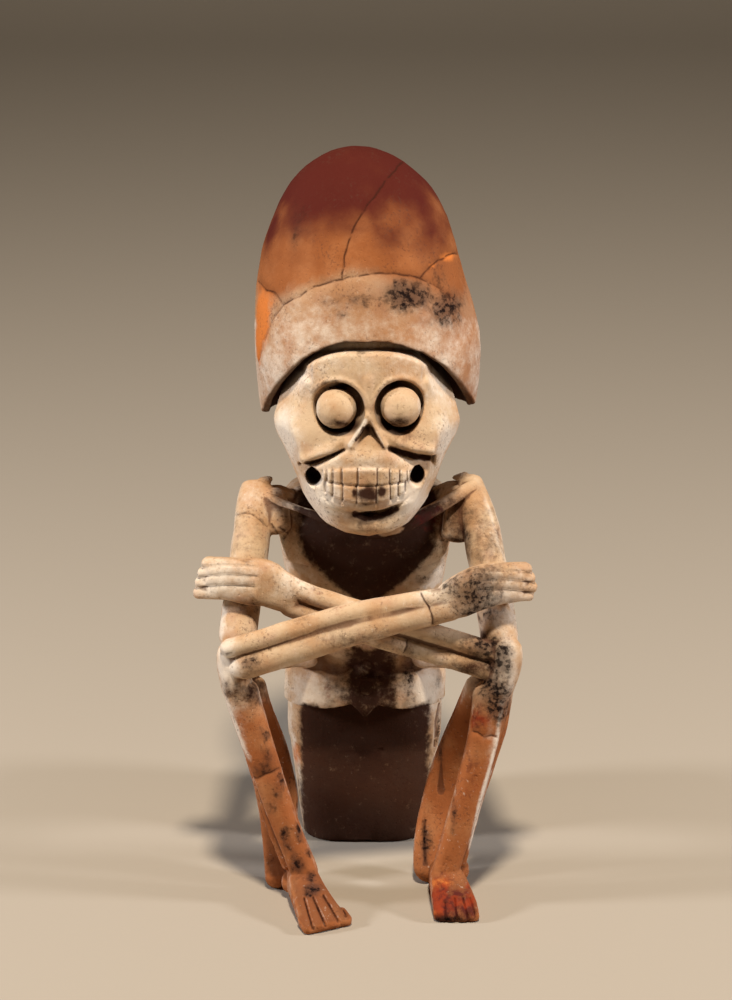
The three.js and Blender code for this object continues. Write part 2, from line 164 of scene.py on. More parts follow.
def addBall(at, size, columns=60, rows=40):
    # an ellipsoid: the turn runs round it and the tilt from its top to its foot
    turn = np.linspace(0, 2 * math.pi, columns, endpoint=False)
    tilt = np.linspace(0.03, math.pi - 0.03, rows)[:, None]
    unit = np.stack([np.sin(tilt) * np.cos(turn), np.sin(tilt) * np.sin(turn), np.cos(tilt) + 0 * turn], -1)
    addShell(np.asarray(at) + unit * np.asarray(size))


def stackedRows(sections, squareness, columns, rows):
    # level oval sections one above another, from rows of height, front, back, half width
    t = np.linspace(0, 1, rows)
    here = runThrough(sections, t)
    turn = np.linspace(0, 2 * math.pi, columns, endpoint=False)
    a, b = oval(turn, here[:, 4:5] if here.shape[1] > 4 else squareness)
    z, front, back, half = here[:, :4].T
    x = half[:, None] * a
    d = ((front + back) / 2)[:, None] + ((back - front) / 2)[:, None] * b
    return x, d, np.broadcast_to(z[:, None], x.shape).copy(), turn


# The cap: a tall bell with an arched rim

cap = {
    "apex": 336.8, "widest": 249, "halfWidth": 50.9, "halfDepth": 46, "middle": 89,
    "leanBack": 13, "swayWide": 1.25, "swayTop": -3.85, "swayBend": 1.24, "taperBelow": 2.4, "wall": 4.2,
    "rimFront": 262.6, "rimCorner": 217.5, "rimBack": 213, "archRise": 1.75, "archRound": 1.2,
    "rimLift": 3.2,                                       # the corner on its left is higher
    "domeRise": 2.08, "domeRound": 2.12, "ceiling": 280, "closing": 0.8,
    "dent": 3.3, "dentHeight": 284, "dentReach": 20,      # the figure's left side is pressed in a little
    "ragged": [[0.3, 3.1, 21], [0.4, 9.5, 22]],           # the rim's unevenness: height, size, seed
    "lipSquareness": 3.4,
}


def rimHeight(turn):
    # the rim arches over the forehead, drops to a corner at each side and runs low behind
    front = np.maximum(0, -np.sin(turn))
    back = np.maximum(0, np.sin(turn))
    arch = 1 - (1 - front**cap["archRise"])**cap["archRound"]
    corner = cap["rimCorner"]
    level = corner + (cap["rimFront"] - corner) * arch + (cap["rimBack"] - corner) * back
    return level + cap["rimLift"] * np.maximum(0, np.cos(turn))**2


def capSection(z, inset):
    # centre and half axes of the bell at a height, the wall's thickness in from the outside
    up = np.maximum(0, (z - cap["widest"]) / (cap["apex"] - cap["widest"] - inset))
    down = np.maximum(0, (cap["widest"] - z) / (cap["widest"] - cap["rimCorner"]))
    dome = np.maximum(0, 1 - up**cap["domeRise"])**(1 / cap["domeRound"])
    half = (cap["halfWidth"] - inset - cap["taperBelow"] * down**2) * dome
    deep = half * (cap["halfDepth"] - inset) / (cap["halfWidth"] - inset)
    sway = cap["swayWide"] + (cap["swayTop"] - cap["swayWide"]) * up**cap["swayBend"]
    return sway, cap["middle"] + cap["leanBack"] * up, half, deep


def capDent(turn, z):
    return cap["dent"] * np.maximum(0, np.cos(turn)) * hump(z - cap["dentHeight"], cap["dentReach"])


def addCap(columns=420, outside=170, lip=15, inside=60):
    turn = np.linspace(0, 2 * math.pi, columns, endpoint=False)
    edge = 50 * np.stack([np.cos(turn), np.sin(turn), 0 * turn], -1)
    rim = rimHeight(turn)
    for kind in cap["ragged"]:
        rim = rim + scaledNoise(edge, kind)
    radius = cap["wall"] / 2
    t = np.linspace(0.003, 1, outside)[:, None]
    outer = rim + radius + (cap["apex"] - rim - radius) * (1 - t**1.7)
    bend = np.linspace(0, math.pi, lip + 2)[1:-1, None]
    aside, flat = oval(bend, cap["lipSquareness"])
    lower = rim + radius * (1 - flat)
    s = np.linspace(0, 0.98, inside)[:, None]
    inner = rim + radius + (cap["ceiling"] - rim - radius) * s
    z = np.vstack([outer, lower, inner])
    inset = np.vstack([0 * t, radius * (1 - aside), np.full((inside, 1), cap["wall"])])
    draw = np.vstack([np.ones((outside + lip, 1)), 1 - cap["closing"] * (1 - np.sqrt(1 - s**2))])
    sway, middle, half, deep = capSection(z, inset)
    x = sway + half * np.cos(turn) * draw - capDent(turn, z)
    d = middle + deep * np.sin(turn) * draw
    addShell(np.stack([x, d, z], -1))


def capPlace(points):
    # how far out a place lies in the cap's section (1 on its outside) and its height above the rim there
    x, d, z = points.T
    sway, middle, half, deep = capSection(np.clip(z, cap["rimBack"], cap["apex"] - 4), 0)
    along = (d - middle) / deep
    turn = np.arctan2(along, (x - sway) / half)
    return np.hypot((x - sway + capDent(turn, z)) / half, along), z - rimHeight(turn)


# The skull: level sections with a flat face, slanting cheeks and an oval back

skull = {
    # height, face front, face edge from the middle and its d, outermost line and its d, back
    "sections": [
        [172.2, 47, 5, 51, 9, 54, 64], [175, 42, 10, 45, 16.5, 54, 70],
        [178, 39.5, 13, 42.8, 20.5, 55, 74], [182, 38.6, 16.5, 42.5, 24, 57, 79],
        [188, 38.4, 20.5, 43, 28, 58, 84], [196, 37.6, 24.5, 44, 31.4, 60, 92],
        [204, 37.2, 27.6, 44.6, 34.4, 61, 100], [210, 38, 29.4, 44.8, 37, 61.5, 106],
        [216, 39, 30.9, 45.2, 40, 62, 110], [222, 40, 33, 47, 41.6, 62.5, 113],
        [228, 41, 33.6, 51, 40, 66, 116], [235, 42, 31, 53, 37.5, 70, 118],
        [243, 42.5, 27.2, 50, 34.5, 74, 119], [250, 43.2, 26, 50, 31.5, 78, 121],
        [257, 44.8, 25.4, 51, 30, 80, 122], [262, 49, 23, 55, 28, 82, 122],
        [266, 56, 20, 60, 26, 84, 122],
    ],
    "middle": 0.8,
    "cranium": [[0, 87, 250], [37, 37, 46]],
    "faceBend": 2.2, "backBend": 0.9, "easing": 12,
}
forehead = {
    "top": 256.9, "fall": 6.2, "half": 24.6, "lid": 9.0, "lidEdge": [0, 2.2], "lidEnd": [28, 31],
    "temple": 2.6, "templeEdge": [23.4, 25.2], "templeEnd": [28, 33], "templeFoot": [242.5, 246],
}
sockets = {
    "centres": [[-11.5, 232.9], [15.1, 233.3]], "half": [[11.4, 11.9], [10.9, 12.1]], "deep": 13.0,
    "shallow": [0.75, 0.3], "slant": 0.7, "corner": [0.1, 0.95],      # less deep at the outer top corner
    "ring": 1.0, "ringAt": 1.12, "ringWidth": 0.09, "ringUpper": [-0.3, 0.6],
}
eyeballs = {"centres": [[-12.6, 46.2, 232.2], [15.7, 46.2, 233]], "radius": 8.9}
nose = {
    # ridges as places from and to (x, z), with their height and width
    "ridges": [[(1.7, 246), (1.6, 231), 1.0, 2.2], [(0.9, 230.6), (-6.2, 218.4), 3.0, 2.3],
               [(2.4, 230), (8.6, 217.6), 2.3, 1.4]],
    "ridgePower": 2.6, "cavityTop": 227.2, "cavityReach": 10, "cavityDeep": 6.0,
    "middle": 1.3, "tip": 0.7, "spread": 0.6,
}
cheek = {
    # one row of settings for each side: the slit's line by distance from the middle, its depth and its
    # height below the line at the inner and the outer end
    "sides": [
        {"line": [[8, 217.8], [20, 211.4], [28, 207]], "groove": 6.5, "below": [1.0, 1.5]},
        {"line": [[8, 218], [20.8, 213.4], [29, 211.2]], "groove": 9.5, "below": [2.0, 5.2]},
    ],
    "start": [7.5, 15], "end": [29.6, 30.8], "above": 1.5, "aboveWidth": 0.8, "opening": [10, 24],
    "lip": 2.0, "lipAt": 2.4, "lipWidth": 2.2,
}
muzzle = {
    "middle": 0.4, "half": 22.4, "front": 35.0, "depth": 12, "blend": 0.6,
    "fades": [[211, 7, 5], [191, -5.5, 4.5]],      # from this height on, over this length, this strong
}
teeth = {
    "upper": [-19, -17, -14.3, -10.3, -3.2, 5.5, 11, 15.5, 18.9, 20.2],
    "lower": [-17.6, -14.4, -9.9, -3.7, 5.1, 11.4, 14.8, 18],
    "reach": 19.5, "top": [208.4, -3.2], "bite": [200.3, 0.7], "foot": [192, 5.0], "raise": 1.8, "gap": 0.4,
    "soft": 0.9,
}
mouthCorner = {"places": [[-22.8, 200.9], [23.0, 201.6]], "half": [[3.7, 4.7], [3.4, 4.6]], "deep": 14}
chin = {
    "middle": 0.6, "smile": [184.7, 9.8, 20.5], "smileEnd": [17, 21], "faint": 0.7, "deepest": 6.6,
    "reach": [-1.4, 14.5], "soft": [4, 3], "width": 1.25, "narrow": 0.6,
    "lumps": [[1.5, 177.5, 12, 3.2, 1.3], [1.2, 174.4, 2.2, 1.2, -0.9]],      # x, z, half sizes, height
}


def toothRow(x, z, edges, low, high):
    # each tooth is a small cushion between its two edges, flat in the middle and rounded down to them
    edges = np.array(edges)
    i = np.clip(np.searchsorted(edges, x) - 1, 0, len(edges) - 2)
    u = (x - edges[i]) / (edges[i + 1] - edges[i])
    w = (z - low) / (high - low)
    inside = (x > edges[0]) & (x < edges[-1]) & (w > 0) & (w < 1)
    wide = (edges[i + 1] - edges[i]) / 2
    sideways = np.clip((1 - np.abs(2 * u - 1)) * wide / teeth["soft"], 0, 1)
    upright = np.clip((1 - np.abs(2 * w - 1)) * (high - low) / 2 / teeth["soft"], 0, 1)
    return np.where(inside, np.sqrt(np.sin(sideways * math.pi / 2) * np.sin(upright * math.pi / 2)), 0)


def faceRelief(x, z, d):
    # moves the face's depth d by features laid out on x and z; deeper is larger d
    side = np.abs(x - skull["middle"])
    reach = np.clip(np.abs(x - muzzle["middle"]) / muzzle["half"], 0, 0.999)
    arch = muzzle["front"] + muzzle["depth"] * (1 - np.sqrt(1 - reach**2))
    for height, length, strength in muzzle["fades"]:
        arch = arch + strength * np.clip((z - height) / length, 0, 9)**2
    blend = muzzle["blend"]
    d = np.where(side < muzzle["half"], -np.logaddexp(-d / blend, -arch / blend) * blend, d)

    for way, own in zip((-1, 1), cheek["sides"]):
        line = np.interp(side, *np.array(own["line"]).T)
        strength = smoothStep(*cheek["start"], side) * (1 - smoothStep(*cheek["end"], side))
        strength = strength * ((x - skull["middle"]) * way > 0)
        below = z - line + cheek["above"]
        inner, outer = own["below"]
        reachDown = inner + (outer - inner) * smoothStep(*cheek["opening"], side)
        groove = hump(below, np.where(below > 0, cheek["aboveWidth"], reachDown))
        lip = hump(z - line - cheek["lipAt"], cheek["lipWidth"])
        d = d + strength * (own["groove"] * groove - cheek["lip"] * lip)

    edge = forehead["top"] - forehead["fall"] * (side / forehead["half"])**3
    lid = forehead["lid"] * smoothStep(*forehead["lidEdge"], z - edge)
    d = d + lid * (1 - smoothStep(*forehead["lidEnd"], side))
    step = smoothStep(*forehead["templeEdge"], side) * (1 - smoothStep(*forehead["templeEnd"], side))
    d = d + forehead["temple"] * (step * smoothStep(*forehead["templeFoot"], z))

    for n, ((cx, cz), (rx, rz)) in enumerate(zip(sockets["centres"], sockets["half"])):
        u, w = (x - cx) / rx, (z - cz) / rz
        r = u**2 + w**2
        slant = sockets["slant"]
        corner = smoothStep(*sockets["corner"], slant * w + slant * u * np.sign(cx))
        pit = sockets["deep"] * np.sqrt(np.clip(1 - r**2, 0, 1)) * (1 - sockets["shallow"][n] * corner)
        around = hump(np.sqrt(r) - sockets["ringAt"], sockets["ringWidth"])
        d = d + pit - sockets["ring"] * (around * smoothStep(*sockets["ringUpper"], w))

    up = nose["cavityTop"] - z
    half = nose["tip"] + np.clip(up, 0, 20) * nose["spread"]
    across = np.sqrt(np.clip(1 - ((x - nose["middle"]) / half)**2, 0, 1))
    floor = nose["cavityDeep"] * (1 - smoothStep(1, nose["cavityReach"], up)) * smoothStep(0, 1, up)
    d = d + floor * across
    raised = 0
    for (ax, az), (bx, bz), height, width in nose["ridges"]:
        t = np.clip(((x - ax) * (bx - ax) + (z - az) * (bz - az)) / ((bx - ax)**2 + (bz - az)**2), 0, 1)
        away = np.hypot(x - ax - t * (bx - ax), z - az - t * (bz - az))
        raised = np.maximum(raised, height * hump(away, width, nose["ridgePower"]))
    d = d - raised

    wave = (x / teeth["reach"])**2
    top, bite, foot = (teeth[name][0] + teeth[name][1] * wave for name in ("top", "bite", "foot"))
    raised = toothRow(x, z, teeth["upper"], bite + teeth["gap"] / 2, top)
    raised = np.maximum(raised, toothRow(x, z, teeth["lower"], foot, bite - teeth["gap"] / 2))
    d = d - teeth["raise"] * raised

    for (cx, cz), (rx, rz) in zip(mouthCorner["places"], mouthCorner["half"]):
        r = ((x - cx) / rx)**2 + ((z - cz) / rz)**2
        d = d + mouthCorner["deep"] * np.sqrt(np.clip(1 - r**3, 0, 1))

    level, rise, spread = chin["smile"]
    smile = z - level - rise * ((x - chin["middle"]) / spread)**2
    before, after = chin["soft"]
    left, right = (smoothStep(end - before, end + after, x) for end in chin["reach"])
    deepest = left * (1 - right)
    width = chin["width"] * (chin["narrow"] + chin["narrow"] * deepest)
    reachEnd = 1 - smoothStep(*chin["smileEnd"], np.abs(x - chin["middle"]))
    d = d + (chin["faint"] + chin["deepest"] * deepest) * reachEnd * hump(smile, width)
    for cx, cz, rx, rz, height in chin["lumps"]:
        d = d - height * np.exp(-((x - cx) / rx)**2 - ((z - cz) / rz)**2)
    return d


def eased(values, times, axis):
    # evens out neighbours along one axis, keeping the two ends
    for _ in range(times):
        moved = np.swapaxes(values, 0, axis)
        moved[1:-1] = (moved[:-2] + 2 * moved[1:-1] + moved[2:]) / 4
        values = np.swapaxes(moved, 0, axis)
    return values


def addSkull(face=250, slant=46, back=70, rows=330):
    sections = runThrough(skull["sections"], np.linspace(0, 1, rows))
    z, front, edge, edgeD, outer, outerD, rear = sections.T[..., None]
    q = np.linspace(0, 1, face)
    s = np.linspace(0, 1, slant)[1:]
    faceX, faceD = edge * q, front + (edgeD - front) * q**skull["faceBend"]
    sideX, sideD = edge + (outer - edge) * s, edgeD + (outerD - edgeD) * s
    halfX = eased(np.hstack([faceX, sideX]), skull["easing"], 1)
    halfD = eased(np.hstack([faceD, sideD]), skull["easing"], 1)
    x = np.hstack([-halfX[:, ::-1], halfX[:, 1:]]) + skull["middle"]
    d = np.hstack([halfD[:, ::-1], halfD[:, 1:]])
    height = np.broadcast_to(z, x.shape)
    d = faceRelief(x, height, d)
    turn = np.linspace(0, math.pi, back + 2)[1:-1]
    backX = skull["middle"] + outer * np.cos(turn)
    backD = outerD + (rear - outerD) * np.sin(turn)**skull["backBend"]
    grid = np.stack([np.hstack([x, backX]), np.hstack([d, backD]), np.hstack([height, z + 0 * backX])], -1)
    addShell(grid)
    addBall(*skull["cranium"])
    for centre in eyeballs["centres"]:
        addBall(centre, [eyeballs["radius"]] * 3)


# The trunk, the loincloth and the seat

trunk = [
    # height, front, back, half width, squareness
    [71, 85, 127, 38.4, 2.25], [78, 85.2, 127, 38.4, 2.25], [86, 85.6, 127, 37.8, 2.25],
    [88.4, 87.2, 126.3, 36.2, 2.25], [90, 88, 126, 35.4, 2.25], [100, 86, 126, 35, 2.25],
    [114, 81, 126.5, 34.6, 2.3], [127, 77, 127, 35.2, 2.4], [138, 73.5, 128, 37.2, 2.7],
    [152, 71.5, 128, 39.4, 3.0], [161, 72.5, 127.5, 40.8, 3.2], [169, 78, 127, 40.4, 3.2],
    [176, 90, 125.5, 35, 3.0], [180, 102, 122, 26, 2.6],
]
hem = {
    "lobe": 4.0, "lobeWidth": 13, "middle": -1.0, "heights": [71, 82],
    "belt": 88, "beltReach": 4, "beltHook": 4.6, "hookAt": -3.6, "hookWidth": 5,
    "behind": 105,             # past this depth the cloth runs plain
}
seat = [
    [0, 91, 151, 30.5], [20, 93.5, 153, 33.5], [44, 96.5, 154, 36.2], [48, 96.6, 154, 37],
    [66, 98, 153, 37.2], [74, 99, 150, 36],
]
seatArch = {"lift": 1.4, "middle": -2, "width": 14, "heights": [0, 8], "depths": [91, 104]}
flap = [[67.9, 84.8, 91, 0.7], [71.4, 84.2, 91, 3.4], [76, 84, 91, 7.0], [88, 84.6, 91, 7.0]]
neck = [[0, 95, 176], [0, 88, 214]]


def addTrunk():
    x, d, z, turn = stackedRows(trunk, None, 260, 300)
    low = 1 - smoothStep(*hem["heights"], z)
    lobes = hem["lobe"] * hump(x - hem["middle"], hem["lobeWidth"]) * (d < hem["behind"])
    hook = hem["beltHook"] * hump(x - hem["hookAt"], hem["hookWidth"]) * (d < hem["behind"])
    belt = hump(z - hem["belt"], hem["beltReach"])
    addShell(np.stack([x, d, z + lobes * low + hook * belt], -1))
    x, d, z, turn = stackedRows(seat, 3.4, 240, 150)
    lift = seatArch["lift"] * hump(x - seatArch["middle"], seatArch["width"])
    lift = lift * (1 - smoothStep(*seatArch["depths"], d))
    addShell(np.stack([x, d, z + lift * (1 - smoothStep(*seatArch["heights"], z))], -1))
    x, d, z, turn = stackedRows(flap, 5, 80, 60)
    addShell(np.stack([x, d, z], -1))
    addLimb(neck, size=[15, 15])


# Collarbones, arms and hands

collarbones = {
    "radii": [1.8, 3.1],
    "lines": [
        [[-46, 84.5, 178.6], [-18, 66.5, 173.4], [0, 69, 166]],
        [[52, 87, 184], [17, 65.5, 170.6], [0, 69, 166]],
    ],
}
arms = {
    # stations from the shoulder down: place, half width, half thickness
    "shafts": [
        [[-48.6, 95.5, 182.2, 6.4, 3.6], [-49.8, 90, 176.6, 8.6, 7], [-52.4, 73, 159, 8.5, 8.5],
         [-55.4, 54, 139, 8.5, 8.5], [-58.6, 40, 119, 8.5, 8.5]],
        [[47.8, 95.5, 184.8, 5.4, 3.6], [48.8, 90.5, 179.4, 6.6, 7], [51.8, 81, 169.6, 8, 8],
         [54.4, 72, 159, 8.5, 8.5], [58.6, 54, 138.5, 8.5, 8.5], [61.6, 41, 117.5, 8.5, 8.5]],
    ],
    "shoulders": [
        [[-48, 93, 173], [-40, 96, 170], [-29, 101, 160]],
        [[48, 93, 175], [40, 96, 172], [29, 101, 162]],
    ],
    "shoulderSize": [9.4, 8.2],
    "breastFlaps": [
        [[-44, 90, 180], [-42, 83.5, 173], [-40.5, 77.5, 162]],
        [[44, 90.5, 181.4], [43, 84, 173], [41.5, 77, 158.4]],
    ],
    "flapSize": [6.8, 4.0],
    "spurs": [
        [[-49, 94, 180.6, 3.4, 3.4], [-45, 93.4, 183, 2.2, 2.4], [-42.4, 93, 184.4, 0.8, 0.9]],
        [[48, 94, 184, 3.4, 3.4], [44, 93.2, 184.4, 2.2, 2.4], [40, 92.5, 184.6, 0.8, 0.9]],
    ],
    "elbows": [
        [[-59.4, 38, 126], [-59.2, 36.5, 113], [-56.8, 37, 97]],
        [[63.2, 39, 127], [63.4, 38, 114], [58.4, 37.5, 97]],
    ],
    "elbowSize": [7.2, 8.4],
}
forearms = [
    # the bones of the right forearm, which crosses in front, and then those of the left one
    {"radius": 4.3, "line": [[-64.6, 30.5, 124], [-51.3, 29.4, 128], [-6.7, 31.4, 141.4],
                             [33.4, 33.5, 148.2], [44, 34.5, 150.2]]},
    {"radius": 6.3, "line": [[-58.4, 31, 115.2], [-51.5, 29.6, 117.6], [-6.7, 31.2, 132.4],
                             [33.5, 33.7, 142.2], [44, 34.7, 145]]},
    {"radius": 3.0, "line": [[-58, 30, 120.8], [-6.7, 30.2, 137.8], [33.4, 32.4, 146]]},
    {"radius": 4.6, "line": [[62, 37.5, 119], [36.9, 40, 126.2], [4, 41, 136.5], [-29.2, 44.5, 147],
                             [-38, 45, 150]]},
    {"radius": 4.7, "line": [[57.5, 37.5, 110.6], [37, 40, 116.4], [4, 41, 126.6], [-29.3, 44.5, 137.6],
                             [-38, 45, 141.4]]},
]
hands = [
    {
        "palm": [[-28, 45, 142.8, 7, 4.2], [-34, 44.8, 145, 8.4, 4.8], [-40, 44.2, 148, 9.2, 5.4],
                 [-46, 43.6, 151.2, 10.8, 6], [-52, 43.2, 152, 10.6, 6], [-62, 44.2, 153, 9.6, 5],
                 [-72, 46.4, 152.7, 8.8, 4]],
        "fingers": [159.8, 155.2, 150.5, 145.9], "tips": [-73.3, -75, -76.4, -77.1],
        "near": -54, "d": [44, 48.4], "droop": -0.6,
    },
    {
        "palm": [[28, 34, 142.6, 7, 4.6], [35, 34.4, 144.4, 8, 5.2], [42, 35, 147.8, 9.6, 6],
                 [52, 36.4, 151.9, 10.2, 6.2], [62, 38.6, 152.8, 9.4, 5.2], [72, 41.6, 152.4, 8.7, 4]],
        "fingers": [159, 154.8, 150.6, 146.6], "tips": [74.4, 76, 77, 75.6],
        "near": 54, "d": [38.6, 43.6], "droop": -0.9,
    },
]
finger = {"half": 2.7, "thick": 4.3}


def addArms():
    for line, radius in zip(collarbones["lines"], collarbones["radii"]):
        addLimb(line, size=[radius] * 2, columns=28)
    for n in range(2):
        addLimb(arms["shafts"][n], squareness=2.2)
        addLimb(arms["shoulders"][n], size=arms["shoulderSize"], side=(0, 0, 1))
        addLimb(arms["breastFlaps"][n], size=arms["flapSize"], squareness=3.4)
        addLimb(arms["spurs"][n], side=(0, 0, 1), columns=24, rows=40)
        addLimb(arms["elbows"][n], size=arms["elbowSize"])
    for bone in forearms:
        addLimb(bone["line"], size=[bone["radius"]] * 2, side=(0, 1, 0), columns=40, rows=150)


def addHand(hand):
    addLimb(hand["palm"], side=(0, 0, 1), squareness=2.8)
    near = hand["near"]
    for z, tip in zip(hand["fingers"], hand["tips"]):
        middle = [(near + tip) / 2, sum(hand["d"]) / 2 - 0.6, z]
        line = [[near, hand["d"][0], z], middle, [tip, hand["d"][1], z + hand["droop"]]]
        addLimb(line, size=[finger["half"], finger["thick"]], side=(0, 0, 1), squareness=2.6, columns=32)


# Legs and feet

legs = [
    {
        "shin": [[-57.4, 37, 107, 8.2, 7.6], [-54.9, 36, 97, 7.7, 7], [-49.7, 35, 79.8, 7, 6.6],
                 [-44.6, 34, 63.9, 6.5, 6.4], [-39.7, 33, 47.4, 6.2, 6.2], [-28.9, 30, 17.6, 6.2, 6.2],
                 [-26.8, 29.5, 9, 6.4, 6.6]],
        "outerBone": [[-62.2, 40, 104], [-58.7, 39.5, 94], [-54, 39, 78], [-49.6, 38, 61.6],
                      [-44.1, 36.5, 40], [-35, 34, 14]],
        "backBone": [[-55, 43, 104, 9, 6], [-51.4, 53, 84, 9.4, 5], [-45.4, 60.5, 60, 9.8, 5],
                     [-40.6, 60.5, 36, 9.4, 5], [-40, 52, 15, 7.4, 5.6], [-41.3, 41.5, 0.5, 5, 6]],
        "thigh": [[-56, 42, 111], [-46, 62, 107], [-34, 84, 100], [-24, 98, 94]],
        "ankle": [-35.2, 34.4, 7.4],
        "foot": [[-30.2, 46, 6, 6.4, 6], [-29, 33, 8.6, 7, 8.4], [-26, 21, 7.6, 8.2, 7.4],
                 [-21.8, 10, 4.8, 9.6, 5.2], [-18.2, 2.6, 3, 10.4, 3.2], [-16.2, -1.2, 2.6, 10.4, 2.7]],
        "toes": [[-26, 0.5], [-20.6, 3], [-15.2, 5.5], [-10.4, 7.8]],
        "heading": [0.42, -1], "toeLength": 5.6,
    },
    {
        "shin": [[58.4, 37.5, 106, 8.6, 7.8], [56.8, 37, 97, 8.4, 7.4], [52.5, 35, 73.4, 7.2, 6.8],
                 [44.7, 32.5, 43.8, 6.6, 6.4], [37.6, 30, 18.1, 6.2, 6.4], [36.4, 30, 9, 6.4, 6.8]],
        "outerBone": [[65, 40, 104], [61, 39, 80], [50.6, 36.5, 45], [43.4, 34, 16]],
        "backBone": [[56, 43, 104, 9, 6], [50.4, 53, 84, 9.6, 5], [43, 60.5, 60, 9.8, 5],
                     [36.2, 61.5, 36, 9.6, 5], [31.4, 56, 17, 8.6, 5.4], [28.6, 48, 0.5, 6.2, 6]],
        "thigh": [[57, 42, 111], [47, 62, 107], [34, 84, 100], [24, 98, 94]],
        "ankle": [44.6, 35.4, 13.2],
        "foot": [[36, 46, 6, 6.8, 6], [36.6, 34, 9, 7.2, 9], [38.4, 25, 8.6, 8.8, 8.4],
                 [40.6, 16.4, 5.6, 10, 6], [41.6, 10.4, 3.6, 10.4, 3.8], [42, 6.8, 2.9, 10.4, 3]],
        "toes": [[34.4, 11.6], [39.4, 11.2], [44.2, 11], [48.6, 11.4]],
        "heading": [0.12, -1], "toeLength": 4.4,
    },
]
toe = {"half": 3.3, "high": 2.5, "root": 6}


def addLeg(leg):
    addLimb(leg["shin"], squareness=2.9, rows=160)
    addLimb(leg["outerBone"], size=[2.8, 3.9], columns=28, rows=120)
    addLimb(leg["backBone"], squareness=3.2, rows=140)
    addLimb(leg["thigh"], size=[6.4, 6])
    addBall(leg["ankle"], [3.4, 4.4, 5])
    addLimb(leg["foot"], squareness=3.0)
    aim = np.array(leg["heading"]) / np.linalg.norm(leg["heading"])
    length, high = leg["toeLength"], toe["high"]
    for x, d in leg["toes"]:
        back = [x - aim[0] * toe["root"], d - aim[1] * toe["root"], high + 1]
        tip = [x + aim[0] * length, d + aim[1] * length, high - 0.3]
        addLimb([back, [x, d, high + 0.2], tip], size=[toe["half"], high], columns=28, squareness=3.4)


# One clay body: the shells are fused, eased at their joins, carved and thinned

clayBody = {
    "voxel": 0.52,      # grain of the fused surface, mm
    "easing": 2,                               # rounds that soften the joins
    "triangles": 192000,
    # the face and the fronts of the feet aren't thinned
    "face": {"side": 31.5, "front": 56, "low": 184, "high": 268},
    "toes": {"front": 40, "low": 4, "high": 20},
}


def meshObject(name, points, quads, triangles):
    mesh = bpy.data.meshes.new(name)
    mesh.vertices.add(len(points))
    mesh.vertices.foreach_set("co", toFrame(points).ravel())
    loops = np.concatenate([quads.ravel(), triangles.ravel()])
    mesh.loops.add(len(loops))
    mesh.loops.foreach_set("vertex_index", loops)
    starts = np.concatenate([np.arange(len(quads)) * 4, len(quads) * 4 + np.arange(len(triangles)) * 3])
    mesh.polygons.add(len(starts))
    mesh.polygons.foreach_set("loop_start", starts)
    mesh.update(calc_edges=True)
    thing = bpy.data.objects.new(name, mesh)
    bpy.context.scene.collection.objects.link(thing)
    return thing


def fuseShells():
    offset = 0
    points, quads, triangles = [], [], []
    for shellPoints, shellQuads, shellTriangles in shells:
        points.append(shellPoints)
        quads.append(shellQuads + offset)
        triangles.append(shellTriangles + offset)
        offset += len(shellPoints)
    thing = meshObject("clayBlank", np.vstack(points), np.vstack(quads), np.vstack(triangles))
    fuse = thing.modifiers.new("fuse", "REMESH")
    fuse.mode = "VOXEL"
    fuse.voxel_size = clayBody["voxel"] / 1000
    ease = thing.modifiers.new("ease", "SMOOTH")
    ease.factor = 0.5
    ease.iterations = clayBody["easing"]
    return settle(thing)


def settle(thing):
    # keeps the mesh as its modifiers leave it
    bpy.context.view_layer.update()
    shaped = thing.evaluated_get(bpy.context.evaluated_depsgraph_get())
    mesh = bpy.data.meshes.new_from_object(shaped)
    old = thing.data
    thing.modifiers.clear()
    thing.data = mesh
    bpy.data.meshes.remove(old)
    return thing


def layoutPoints(mesh):
    values = np.empty(len(mesh.vertices) * 3)
    mesh.vertices.foreach_get("co", values)
    return values.reshape(-1, 3) * 1000 - (shiftX, shiftD, 0)


def layoutNormals(mesh):
    values = np.empty(len(mesh.vertices) * 3, np.float32)
    mesh.vertex_normals.foreach_get("vector", values)
    return values.reshape(-1, 3).astype(float)


# The picture plane: where the photograph's camera sees each point, in pixels of its 732 x 1000 frame

view = {"target": [0, 45, 190], "distance": 1300, "elevation": 19, "focal": 2925, "centre": [365, 500]}
tilt = math.radians(view["elevation"])
forward = np.array([0, math.cos(tilt), -math.sin(tilt)])
upward = np.array([0, math.sin(tilt), math.cos(tilt)])
eyePoint = np.array(view["target"]) - view["distance"] * forward
pixelsPerMm = view["focal"] / view["distance"]


def pictured(points):
    offset = points - eyePoint
    away = offset @ forward
    px = view["centre"][0] + view["focal"] * offset[:, 0] / away
    py = view["centre"][1] - view["focal"] * (offset @ upward) / away
    return px, py, away


def seenPart(points, normals, cell=2.5, behind=4.0):
    # 1 where the photograph shows the surface, falling to 0 where it turns away or lies behind
    px, py, away = pictured(points)
    column = (px / cell).astype(int)
    row = (py / cell).astype(int)
    nearest = np.full((row.max() + 2, column.max() + 2), 1e9)
    np.minimum.at(nearest, (row, column), away)
    facing = (normals @ -forward)
    return smoothStep(0.02, 0.3, facing) * (away < nearest[row, column] + behind)


def lineDistance(px, py, line):
    # distance in mm on the picture plane from a bent line of pixel places
    best = np.full(len(px), 1e9)
    line = np.asarray(line, float)
    for (ax, ay), (bx, by) in zip(line[:-1], line[1:]):
        ex, ey = bx - ax, by - ay
        t = np.clip(((px - ax) * ex + (py - ay) * ey) / (ex * ex + ey * ey), 0, 1)
        best = np.minimum(best, np.hypot(px - ax - t * ex, py - ay - t * ey))
    return best / pixelsPerMm


# Cracks, incised lines and folds, as lines of pixel places with their width and depth in mm

def ring(x, y, radius):
    turn = np.linspace(0, 2 * math.pi, 25)
    return np.stack([x + radius * np.cos(turn), y + radius * np.sin(turn)], -1)


